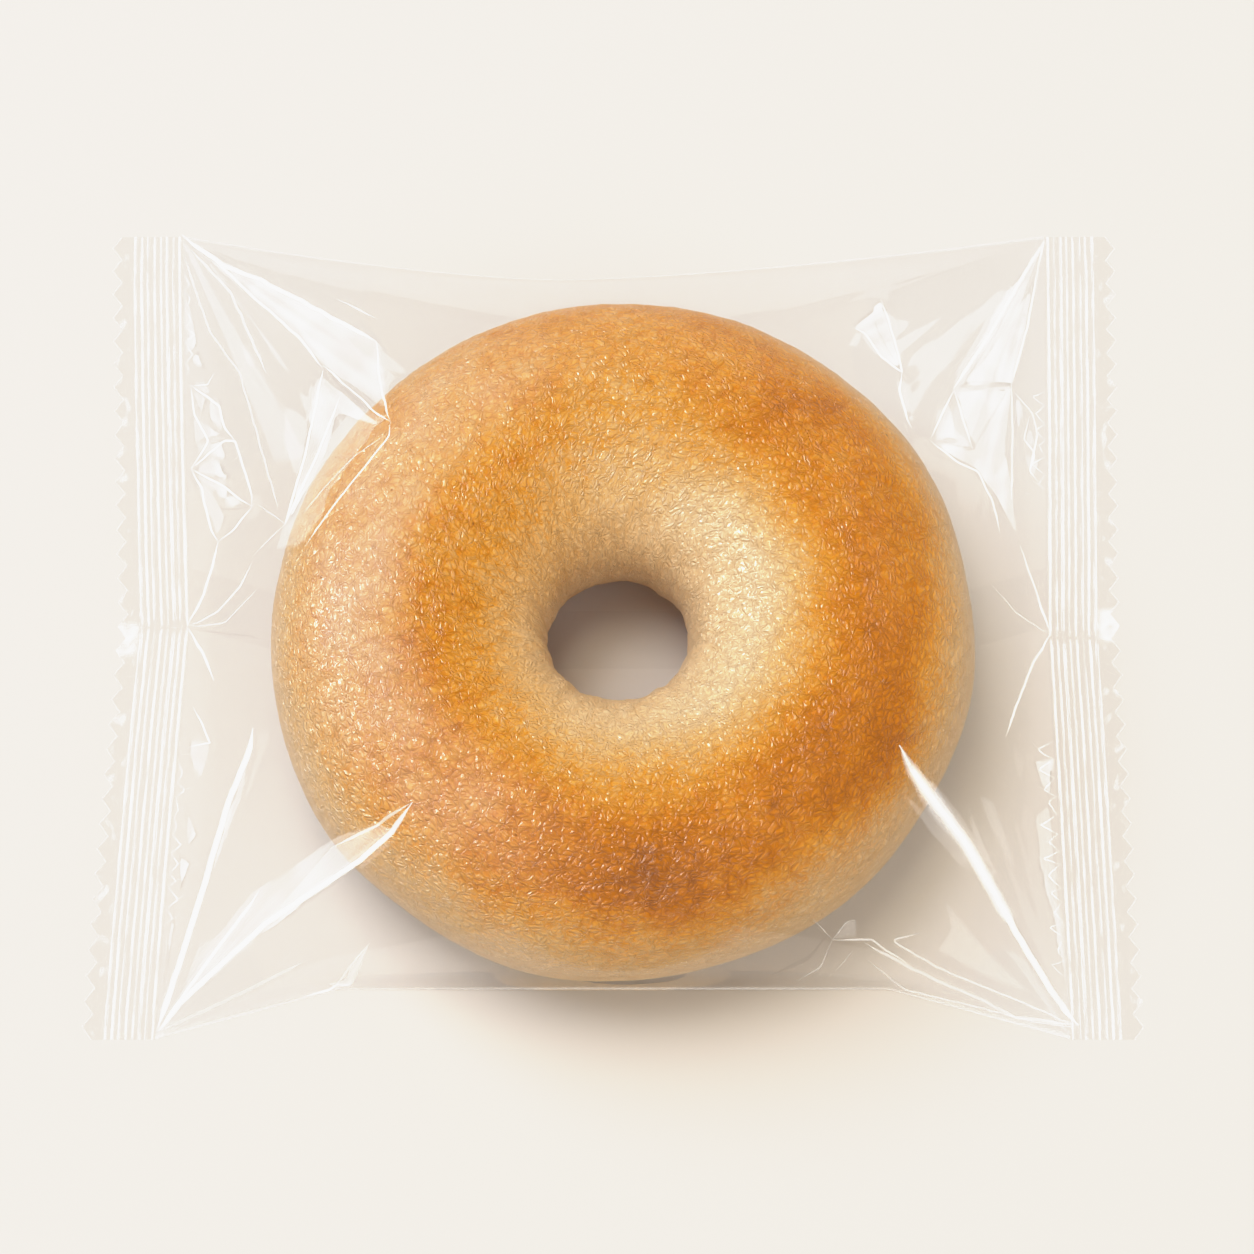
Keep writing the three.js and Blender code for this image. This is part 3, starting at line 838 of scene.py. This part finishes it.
def pinch_height(distance, t, middle):
    """Rays that spread over the lip and the ribs from the seal's pinched middle."""
    along, across = distance - (SEAL_WIDTH - LIP_WIDTH) + 0.6, t - middle
    radius = np.hypot(along, across)
    angle = np.degrees(np.arctan2(across, np.abs(along) + 0.3))
    rays = facet_noise(angle / 17.0, radius / 6.0, 37)
    notch = -NOTCH_DEPTH * np.exp(-(across / 0.5) ** 2)
    return 0.12 * rays * np.minimum(radius, 2.0) / 2.0 * smoothstep(4.0, 1.5, radius) + notch


def seal(end, material):
    """The left (-1) or right (1) end seal: a ribbed band, then a lip, darker as doubled film, with a
    serrated outer edge. Painted highlights whiten its rib crests, its rim, blobs on the lip and the lip
    beside the pinch, and painted shade darkens it between the ribs.
    """
    rows = np.linspace(-HALF_WIDTH, HALF_WIDTH, SEAL_ROWS)
    shares = np.linspace(0.0, 1.0, SEAL_COLUMNS)
    share, t = flat_grid(shares, rows)
    inner_x, y = plan_of(np.full_like(t, end * SEAL_X), t)
    tooth = np.abs(((t + HALF_WIDTH) / (2 * HALF_WIDTH) * TOOTH_COUNT) % 1.0 - 0.5) * 2.0
    outer = SEAL_WIDTH - TOOTH_DEPTH * tooth
    lip_from = SEAL_WIDTH - LIP_WIDTH
    in_lip = (share - RIBBED_SHARE) / (1.0 - RIBBED_SHARE)
    distance = np.where(
        share < RIBBED_SHARE, share / RIBBED_SHARE * lip_from, lip_from + in_lip * (outer - lip_from))
    on_lip = smoothstep(lip_from - 0.5, lip_from + 1.0, distance)
    wave = SEAL_WAVE * smooth_noise(flat_points(0.5 * distance, 0.5 * t), 5.0, 31)
    wave += on_lip * LIP_WAVE * smooth_noise(flat_points(0.6 * distance, t), 2.6, 32 + end)
    z = SEAL_Z + rib_height(distance, t) + wave + pinch_height(distance, t, PINCH[end])

    # Painted highlights: along the outer rim, in blobs on the lip and beside the pinch.
    rim = RIM_HIGHLIGHT * smoothstep(0.3, 0.1, outer - distance)
    # Darker between the ribs is painted shade; the base level and the lip are the doubled film's own tint.
    valley = np.clip(1.0 - rib_height(distance, t) / RIB_RISE, 0.0, 1.0)
    doubled_film_and_shade = 0.3 + 0.7 * valley * (1.0 - on_lip) + 0.7 * on_lip
    blobs = smooth_noise(flat_points(distance, 0.6 * t), 1.3, 85 + end)
    blobs = on_lip * BLOB_HIGHLIGHT * smoothstep(0.25, 0.9, blobs)
    near_pinch = on_lip * smoothstep(2.9, 1.7, np.abs(t - PINCH[end] - end * BESIDE_PINCH))
    near_pinch *= 0.45 + 0.4 * facet_noise(distance / 1.3, t / 1.1, 88)
    painted_film_highlight = np.max([rim, blobs, near_pinch, rib_lines(distance, t, PINCH[end])], axis=0)

    name = "seal_left" if end < 0 else "seal_right"
    points = np.stack([inner_x + end * distance, y, z], axis=1)
    faces = grid_faces(SEAL_COLUMNS, SEAL_ROWS)[:, ::end]
    layers = [("free", np.ones_like(t)), ("doubled", doubled_film_and_shade), ("painted_film_highlight", painted_film_highlight)]
    return make_piece(name, points, faces, material, layers)


# The bagel --------------------

TURNS = 560
SECTIONS = 170

# The crust's relief: how high and how wide the bumps of each kind are.
LUMPS = (0.45, 24.0)
LOBES = (0.3, 11.0)
BULGES = (0.25, 3.4)
DIMPLES = (0.11, 4.6)
LEATHER_HEIGHT = 0.17
LEATHER_SIZE = 1.7
OUTLINE_WAVE = 0.35
HOLE_WAVE = 0.2
BASE_BUMPS = (0.05, 3.0)
# Patches in the browning: how strong and how wide.
PATCHES = ((0.06, 15.0), (0.07, 6.0), (0.06, 2.6))

# How far the outline falls inside an even circle, at every 30 degrees from +X towards +Y.
OUTLINE_DENT = (0.5, 0.0, 0.0, 0.0, 0.0, 0.35, 0.5, 0.0, 0.1, 1.1, 0.75, 1.35)

# How the browning lies round the ring, at every 45 degrees from +X towards +Y: the radius where the pale
# rim of the hole turns brown, how gradually it does, the radius where the pale side begins, and how dark it
# gets.
BROWN_FROM = (26.3, 24.7, 20.8, 15.5, 17.6, 20.9, 26.8, 26.3)
BROWN_FADE = (8.0, 9.0, 13.0, 10.0, 8.0, 8.5, 12.0, 7.7)
BROWN_TO = (42.3, 44.3, 47.9, 45.5, 43.5, 44.0, 45.2, 44.0)
BROWN_DEPTH = (0.77, 0.73, 0.53, 0.51, 0.58, 0.63, 0.83, 0.80)
# How strong the painted sheen is, at the same steps: a pale colour that stands in for the crust's gloss.
PAINTED_CRUST_SHEEN = (0.0, 0.0, 0.1, 0.7, 1.0, 0.5, 0.0, 0.0)


def round_ring(values, turn):
    """A smooth blend, round the ring, of values given at even steps."""
    at = (turn / (2 * math.pi) * len(values)) % len(values)
    first = np.floor(at).astype(int) % len(values)
    share = smoothstep(0.0, 1.0, at - np.floor(at))
    values = np.array(values)
    return values[first] * (1.0 - share) + values[(first + 1) % len(values)] * share


def skin_coordinates(turn, section, radius):
    """Where a point lies on the crust, in millimetres. Patterns looked up here are drawn out towards the
    hole on the inner slope, and along the rim on the outer side, as the dough's skin is."""
    steps = np.linspace(-math.pi / 2, math.pi * 1.5, 400)
    drawn_out = 1.0 - 0.35 * smoothstep(1.75, 2.5, steps) + 0.2 * smoothstep(1.2, 0.4, steps)
    across = np.cumsum(drawn_out) * (steps[1] - steps[0]) * DOUGH_HALF_WIDTH
    wrapped = (section + math.pi / 2) % (2 * math.pi) - math.pi / 2
    twisted = turn - 0.22 * smoothstep(1.5, 2.6, wrapped) * (1.0 + np.sin(turn)) / 2.0
    ring = 0.65 * radius + 0.35 * RING_RADIUS
    outwards = np.interp(wrapped, steps, across)
    return np.stack([np.cos(twisted) * ring, np.sin(twisted) * ring, outwards], axis=1)


def bagel(material):
    """The bagel: an uneven ring with lumps, puckers round the hole, dimples and a leathery grain."""
    turn = np.linspace(0.0, 2 * math.pi, TURNS, endpoint=False)
    # Sections are closer on the top than on the base.
    even = np.linspace(0.0, 2 * math.pi, SECTIONS, endpoint=False)
    section = even - 0.35 * np.cos(even)
    a, b = flat_grid(turn, section)
    ring = np.stack([np.cos(a), np.sin(a), np.zeros_like(a)], axis=1)
    outer = OUTER_RADIUS + OUTLINE_WAVE * smooth_noise(ring * 50.0, 38.0, 3) - round_ring(OUTLINE_DENT, a)
    inner = HOLE_RADIUS + HOLE_SHIFT * np.cos(a) + HOLE_WAVE * smooth_noise(ring * 10.0, 3.0, 5)
    middle, half = (outer + inner) / 2.0, (outer - inner) / 2.0
    radius = middle + half * np.cos(b)
    z = DOUGH_MIDDLE_Z + DOUGH_HALF_HEIGHT * np.sin(b)
    points = np.stack([BAGEL_X + radius * np.cos(a), BAGEL_Y + radius * np.sin(a), z], axis=1)
    normal = np.stack([np.cos(a) * np.cos(b), np.sin(a) * np.cos(b), np.sin(b)], axis=1)

    skin = skin_coordinates(a, b, radius)
    inward = smoothstep(-0.35, -0.95, np.cos(b))
    crest = smoothstep(-0.2, 0.6, np.sin(b))
    lumps = bumps(points, LUMPS, 7)
    lobes = np.abs(bumps(skin * (1.0, 1.0, 0.6), LOBES, 9))
    puckers = inward * (lobes + bumps(skin * (1.0, 1.0, 0.5), BULGES, 10))
    dimples = bumps(points, DIMPLES, 13) * (0.4 + 0.6 * crest)
    warped = skin + 0.5 * np.stack([smooth_noise(skin, 2.4, k) for k in (41, 42, 43)], axis=1)
    rough = 0.75 - 0.25 * np.cos(a)
    grain = np.abs(smooth_noise(warped, LEATHER_SIZE, 17))
    leather = LEATHER_HEIGHT * rough * (grain - 0.35) * (0.35 + 0.65 * crest)
    relief = lumps + puckers + dimples + leather
    points = points + normal * relief[:, None]
    points[:, 2] = np.maximum(points[:, 2], BASE_Z + bumps(points, BASE_BUMPS, 19))
    # The creases' layer holds painted shade for the crust's grain.
    layers = [
        ("browning_and_painted_light", browning_and_painted_light(points, a)), ("painted_crust_sheen", painted_crust_sheen(points, a)), ("skin", skin),
        ("crease", smoothstep(0.2, 0.0, grain) * crest * rough), ("wrinkled", 0.64 - 0.26 * inward),
    ]
    return make_piece("bagel", points, grid_faces(TURNS, SECTIONS, True, True), material, layers)


def from_middle(points):
    """Distance in plan from the bagel's middle."""
    return np.hypot(points[:, 0] - BAGEL_X, points[:, 1] - BAGEL_Y)


def browning_and_painted_light(points, turn):
    """How brown the crust is, from 0 for cream to 1 for the darkest oven colour, with painted light and
    shade in it: paler on the right inner slope, where the key light falls, and darker low in the hole, where
    shade falls.
    """
    radius = from_middle(points) + smooth_noise(points, 13.0, 31) + 0.5 * smooth_noise(points, 5.0, 32)
    height, on_right = points[:, 2], smoothstep(-0.2, 0.9, np.cos(turn))
    start, fade = round_ring(BROWN_FROM, turn), round_ring(BROWN_FADE, turn)
    from_hole = smoothstep(start - fade, start + fade, radius)
    to_side = smoothstep(7.0, -3.0, radius - round_ring(BROWN_TO, turn))
    upper = smoothstep(14.0, 24.0, height)
    patches = sum(bumps(points, kind, seed) for kind, seed in zip(PATCHES, (23, 29, 30)))
    band = from_hole * to_side * upper
    # Paler on the right inner slope, inside 24 mm: painted light where the key light falls.
    pale = 0.07 - 0.04 * smoothstep(24.0, 18.0, radius) * on_right
    pale += 0.09 * smoothstep(24.0, 40.0, radius) * smoothstep(4.0, 18.0, height)
    # Darker low on the inner side and underneath: painted shade for the hole, with less of it on the right,
    # which the key light reaches.
    base = 0.7 * smoothstep(15.0, 5.0, height) * smoothstep(44.0, 36.0, radius)
    base *= 1.0 - 0.7 * on_right * smoothstep(4.0, 10.0, height)
    return np.clip(pale + base + band * (round_ring(BROWN_DEPTH, turn) - pale + patches), 0.0, 1.0)


def painted_crust_sheen(points, turn):
    """How much painted sheen lies over the crust, a pale colour standing in for gloss: most on the left
    shoulder.
    """
    radius = from_middle(points)
    window = smoothstep(27.0, 36.0, radius) * smoothstep(49.0, 40.0, radius)
    return window * round_ring(PAINTED_CRUST_SHEEN, turn) * (1.0 + 0.4 * smooth_noise(points, 6.0, 47))


# Materials --------------------

WHITE = (1.0, 1.0, 1.0, 1.0)
CLEAR_TINT = (0.971, 0.973, 0.977, 1.0)
# This tint also shows painted shade along folds and between the seals' ribs.
DOUBLED_AND_SHADE_TINT = (0.935, 0.93, 0.925, 1.0)
FILM_HAZE = 0.018
FACET_SHINE = 0.16
# The crust's colours from its palest to its darkest brown, and those of its painted sheen, pores and specks.
CRUST_TONES = (
    (0.0, (0.90, 0.66, 0.375, 1.0)), (0.25, (0.86, 0.50, 0.175, 1.0)), (0.5, (0.83, 0.345, 0.034, 1.0)),
    (0.75, (0.66, 0.205, 0.003, 1.0)), (1.0, (0.38, 0.112, 0.009, 1.0)),
)
PAINTED_CRUST_SHEEN_COLOUR = (1.0, 0.76, 0.55, 1.0)
PORE_COLOUR = (0.30, 0.09, 0.012, 1.0)
SPECK_COLOUR = (1.0, 0.86, 0.6, 1.0)
WRINKLE_HEIGHT = 0.42
TABLE_COLOUR = (0.717, 0.684, 0.646, 1.0)


class Nodes:
    """Builds a material's nodes: each call adds one node, sets its numbers and links its inputs."""

    def __init__(self, name):
        self.material = bpy.data.materials.new(name)
        self.material.use_nodes = True
        self.nodes, self.links = self.material.node_tree.nodes, self.material.node_tree.links
        self.nodes.clear()

    def add(self, kind, settings=None, **inputs):
        """One node. An input is named by its number, as i0, or by its own name with _ for each space."""
        node = self.nodes.new("ShaderNode" + kind)
        for key, value in (settings or {}).items():
            setattr(node, key, value)
        for key, value in inputs.items():
            is_number = key[0] == "i" and key[1:].isdigit()
            socket = node.inputs[int(key[1:]) if is_number else key.replace("_", " ")]
            if isinstance(value, bpy.types.NodeSocket):
                self.links.new(value, socket)
            else:
                socket.default_value = value
        return node

    def layer(self, name, output="Fac"):
        """What a mesh says, in the layer of this name."""
        return self.add("Attribute", {"attribute_name": name}).outputs[output]

    def math(self, operation, first, second=0.0):
        return self.add("Math", {"operation": operation}, i0=first, i1=second).outputs[0]

    def total(self, start, *terms):
        """start and the terms, each of them a value and its weight, added up."""
        for value, weight in terms:
            node = self.add("Math", {"operation": "MULTIPLY_ADD"}, i0=value, i1=weight, i2=start)
            start = node.outputs[0]
        return start

    def between(self, value, start, end):
        """A straight ramp from start, where value is 0, to end, where it is 1."""
        return self.add("MapRange", Value=value, To_Min=start, To_Max=end).outputs["Result"]

    def step(self, value, low, high, start=0.0, end=1.0):
        """A smooth ramp from start, where value is low, to end, where it is high."""
        node = self.add("MapRange", {"interpolation_type": "SMOOTHSTEP"}, Value=value, From_Min=low,
                        From_Max=high, To_Min=start, To_Max=end)
        return node.outputs["Result"]

    def noise(self, vector, scale, detail=0.0):
        return self.add("TexNoise", Vector=vector, Scale=scale, Detail=detail)

    def mix(self, amount, first, second):
        """A blend of two colours."""
        return self.add("Mix", {"data_type": "RGBA"}, i0=amount, i6=first, i7=second).outputs[2]


def film_material():
    """Clear film: it lets light through and mirrors a little of it, more at a glancing angle and on its
    facets. It is a little milky where it stands free of the bagel, and darker where it is doubled. Painted
    highlights whiten it along folds, edges, rims and rib crests and in patches, and painted shade darkens it
    along some folds and between the seals' ribs."""
    tree = Nodes("clear_film")
    free, soft, shine, painted_film_highlight, doubled_film_and_shade = (
        tree.layer(name) for name in ("free", "soft", "shine", "painted_film_highlight", "doubled"))
    glancing = tree.math("POWER", tree.add("LayerWeight", Blend=0.5).outputs["Facing"], 4.0)
    mirrored = tree.total(tree.between(glancing, 0.045, 0.85), (shine, FACET_SHINE))
    mirrored = tree.math("MULTIPLY", mirrored, tree.between(free, 0.02, 1.0))
    gloss = tree.add(
        "BsdfPrincipled", Base_Color=WHITE, Metallic=1.0, Roughness=tree.between(soft, 0.08, 0.22))
    white_diffuse = tree.add("BsdfDiffuse", Color=WHITE)
    clear = tree.add("BsdfTransparent", Color=tree.mix(doubled_film_and_shade, CLEAR_TINT, DOUBLED_AND_SHADE_TINT))
    # White diffuse: the film's own haze and its painted highlights.
    haze_and_highlight = tree.total(painted_film_highlight, (free, FILM_HAZE))
    body = tree.add("MixShader", i0=haze_and_highlight, i1=clear.outputs[0], i2=white_diffuse.outputs[0])
    whole = tree.add("MixShader", i0=mirrored, i1=body.outputs[0], i2=gloss.outputs[0])
    tree.add("OutputMaterial", Surface=whole.outputs[0])
    return tree.material


def crust_material():
    """Baked crust: browned as the mesh says, with creased and wormy wrinkles, pores and pale specks. Painted
    shade darkens its creases and cell edges, and painted highlight lightens its wormy ridges.
    """
    tree = Nodes("bagel_crust")
    skin = tree.layer("skin", "Vector")
    # Browning, with painted light and shade in it.
    brown_and_painted_light = tree.layer("browning_and_painted_light")

    bend = tree.noise(skin, 0.5, 1.0).outputs["Color"]
    bend = tree.add("VectorMath", {"operation": "SUBTRACT"}, i0=bend, i1=(0.5, 0.5, 0.5)).outputs[0]
    bend = tree.add("VectorMath", {"operation": "SCALE"}, i0=bend, Scale=2.2).outputs[0]
    bent = tree.add("VectorMath", {"operation": "ADD"}, i0=skin, i1=bend).outputs[0]

    def level_lines(scale, detail, width):
        """Lines along the middle level of a noise."""
        off_level = tree.math("SUBTRACT", tree.noise(bent, scale, detail).outputs["Fac"], 0.5)
        return tree.step(tree.math("ABSOLUTE", off_level), width, 0.0)

    worm, thread = level_lines(1.5, 0.0, 0.035), level_lines(3.2, 1.0, 0.05)
    cells = tree.add("TexVoronoi", {"feature": "DISTANCE_TO_EDGE"}, Vector=bent, Scale=1.0, Randomness=1.0)
    from_crease = cells.outputs["Distance"]
    dome = tree.step(from_crease, 0.0, 0.36)
    height = tree.total(0.0, (dome, 0.7), (worm, 0.3), (thread, 0.18))
    height = tree.math("MULTIPLY", height, tree.layer("wrinkled"))
    bump = tree.add("Bump", Strength=1.0, Distance=WRINKLE_HEIGHT * MM, Height=height)

    # Painted shade at the cells' edges and in the creases, and painted highlight along the wormy ridges.
    cell = tree.step(from_crease, 0.0, 0.16)
    crease_shade_and_ridge_light = tree.total(0.04, (cell, -0.13), (tree.layer("crease"), 0.17), (worm, -0.12))
    blotch = tree.noise(skin, 0.5, 3.0).outputs["Fac"]
    browned = tree.step(brown_and_painted_light, 0.05, 0.5, 0.3, 1.0)
    tone = tree.total(-0.08, (brown_and_painted_light, 1.0), (blotch, 0.16), (crease_shade_and_ridge_light, browned))
    ramp = tree.add("ValToRGB", Fac=tone)
    stops = ramp.color_ramp.elements
    for position, colour in CRUST_TONES[1:-1]:
        stops.new(position).color = colour
    stops[0].color, stops[-1].color = CRUST_TONES[0][1], CRUST_TONES[-1][1]

    dots = tree.add("TexVoronoi", {"feature": "F1"}, Vector=skin, Scale=0.24)
    near, chance = dots.outputs["Distance"], dots.outputs["Color"]
    chance = tree.add("SeparateColor", Color=chance).outputs[0]
    pore = tree.math("MULTIPLY", tree.step(near, 0.075, 0.03), tree.step(chance, 0.50, 0.56))
    speck = tree.math("MULTIPLY", tree.step(near, 0.06, 0.03), tree.step(chance, 0.34, 0.28))
    # Painted sheen: the crust is mixed towards a pale colour where its gloss falls.
    painted_sheen_share = tree.math("MULTIPLY", tree.layer("painted_crust_sheen"), 0.4)
    colour = tree.mix(painted_sheen_share, ramp.outputs["Color"], PAINTED_CRUST_SHEEN_COLOUR)
    colour = tree.mix(tree.math("MULTIPLY", pore, 0.62), colour, PORE_COLOUR)
    colour = tree.mix(tree.math("MULTIPLY", speck, 0.5), colour, SPECK_COLOUR)

    crust = tree.add("BsdfPrincipled", Base_Color=colour, Normal=bump.outputs["Normal"], Roughness=0.29,
                     Specular_IOR_Level=0.55)
    tree.add("OutputMaterial", Surface=crust.outputs["BSDF"])
    return tree.material


def table_material():
    tree = Nodes("table")
    surface = tree.add(
        "BsdfPrincipled", Base_Color=TABLE_COLOUR, Roughness=0.8, Specular_IOR_Level=0.2)
    tree.add("OutputMaterial", Surface=surface.outputs["BSDF"])
    return tree.material


# Scene --------------------

# The key is bluish light from a window, and the light from above is warm.
DAYLIGHT = (1.0, 1.15, 1.46)
WARM_LIGHT = (1.0, 0.90, 0.72)
WHITE_LIGHT = (1.0, 1.0, 1.0)
WORLD_COLOUR = (1.0, 0.88, 0.72)
WORLD_STRENGTH = 0.50
WORLD_IN_GLOSS = 0.07
# Lights that leave no reflection: name, azimuth from +X towards +Y and elevation in degrees, width and
# height in metres, power in watts, and colour.
SOFT_LIGHTS = (
    ("key", 146.0, 58.0, (1.7, 1.7), 27.0, DAYLIGHT),
    ("top", 140.0, 79.0, (1.0, 1.0), 24.5, WARM_LIGHT),
    ("fill", -60.0, 55.0, (2.0, 1.6), 11.0, WHITE_LIGHT),
)
# A light for the bagel's gloss, and for each side one for the film's gloss and one for the seal's.
SHEEN = ("sheen", 168.0, 24.0, (1.4, 0.9), 112.0)
GLINTS = (("_glint", (0.9, 0.9), 6.2), ("_seal_glint", (0.6, 0.9), 14.0))
# The camera's response: light over ROLL_OFF_FROM is held back, so that nothing is shown over BRIGHTEST.
RESPONSE_WHITE = 3.0
ROLL_OFF_FROM = 0.78
BRIGHTEST = 0.955
CURVE_POINTS = 10
TABLE_HALF = 3000.0


def add_camera():
    data = bpy.data.cameras.new("camera")
    data.sensor_width = CAMERA_SENSOR
    data.lens = CAMERA_LENS
    data.clip_start, data.clip_end = (distance * MM for distance in CAMERA_CLIP)
    camera = bpy.data.objects.new("camera", data)
    camera.location = Vector(CAMERA_PLACE) * MM
    camera.rotation_euler = (math.radians(CAMERA_TILT), 0.0, 0.0)
    bpy.context.scene.collection.objects.link(camera)
    bpy.context.scene.camera = camera


def add_light(name, azimuth, elevation, size, power, colour=WHITE_LIGHT, glossy=True):
    """A soft box aimed at the pack. One that isn't glossy leaves no reflection."""
    data = bpy.data.lights.new(name, "AREA")
    data.shape = "RECTANGLE"
    data.size, data.size_y = size
    data.energy = power
    data.color = colour
    light = bpy.data.objects.new(name, data)
    light.visible_glossy = glossy
    light.location = Vector(towards(azimuth, elevation)) * (LIGHT_DISTANCE * MM)
    light.rotation_euler = (-light.location).to_track_quat("-Z", "Y").to_euler()
    bpy.context.scene.collection.objects.link(light)
    return light


def light_only(light, pieces):
    """Lets a light be seen only in the gloss of these pieces."""
    receivers = bpy.data.collections.new(light.name + "_receivers")
    for piece in pieces:
        receivers.objects.link(piece)
    light.light_linking.receiver_collection = receivers
    light.visible_diffuse = False


def add_world():
    """Even light from all round, dimmer where it is seen in gloss."""
    world = bpy.data.worlds.new("world")
    world.use_nodes = True
    nodes, links = world.node_tree.nodes, world.node_tree.links
    background = nodes["Background"]
    background.inputs["Color"].default_value = (*WORLD_COLOUR, 1.0)
    path = nodes.new("ShaderNodeLightPath")
    amount = nodes.new("ShaderNodeMapRange")
    amount.inputs["To Min"].default_value = WORLD_STRENGTH
    amount.inputs["To Max"].default_value = WORLD_IN_GLOSS
    links.new(path.outputs["Is Glossy Ray"], amount.inputs["Value"])
    links.new(amount.outputs["Result"], background.inputs["Strength"])
    bpy.context.scene.world = world


def rolled_off(level):
    """How bright a level of light above the roll-off is shown."""
    room = BRIGHTEST - ROLL_OFF_FROM
    return BRIGHTEST - room * math.exp(-(level - ROLL_OFF_FROM) / room)


def add_film_response():
    """Highlights roll off gently below white instead of clipping."""
    view = bpy.context.scene.view_settings
    view.view_transform = "Standard"
    view.use_curve_mapping = True
    mapping = view.curve_mapping
    mapping.white_level = (RESPONSE_WHITE,) * 3
    curve = mapping.curves[3]
    levels = ROLL_OFF_FROM + (RESPONSE_WHITE - ROLL_OFF_FROM) * np.linspace(0.0, 1.0, CURVE_POINTS) ** 2
    for level in levels[:-1]:
        curve.points.new(level / RESPONSE_WHITE, rolled_off(level))
    curve.points[-1].location = (1.0, rolled_off(RESPONSE_WHITE))
    for point in curve.points:
        point.handle_type = "VECTOR"
    mapping.update()


def add_table():
    corners = [(-1, -1, 0), (1, -1, 0), (1, 1, 0), (-1, 1, 0)]
    points = TABLE_HALF * np.array(corners, float)
    make_piece("table", points, np.array([[0, 1, 2, 3]]), table_material())


add_camera()
add_film_response()
add_world()
for name, azimuth, elevation, size, power, colour in SOFT_LIGHTS:
    add_light(name, azimuth, elevation, size, power, colour, glossy=False)
add_table()

film = film_material()
film_place, film_layers = top_form()
film_pieces = [
    film_top(film, film_place, film_layers),
    fold_lines(film, film_place[2]),
    underside("film_bottom", film, (-HALF_WIDTH, HALF_WIDTH), BOTTOM_GRID, 0.0, BOTTOM_Z),
    seal(-1, film),
    seal(1, film),
    underside("back_seam", film, (0.0, SEAM_WIDTH), SEAM_GRID, SEAM_GAP, SEAM_GAP, SEAM_FREE),
]
for piece in film_pieces:
    piece.visible_diffuse = False
    piece.visible_shadow = False
dough = bagel(crust_material())
for piece in film_pieces + [dough]:
    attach(piece, "root")
    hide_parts("sealed_bag")

light_only(add_light(*SHEEN), [dough])
seals = [piece for piece in film_pieces if piece.name.startswith("seal")]
sheets = [piece for piece in film_pieces if piece not in seals]
for side, name in ((-1, "left"), (1, "right")):
    for (ending, size, power), lit_pieces in zip(GLINTS, (sheets, seals)):
        glint = add_light(name + ending, GLINT_AZIMUTH[side], GLINT_ELEVATION, size, power)
        light_only(glint, lit_pieces)
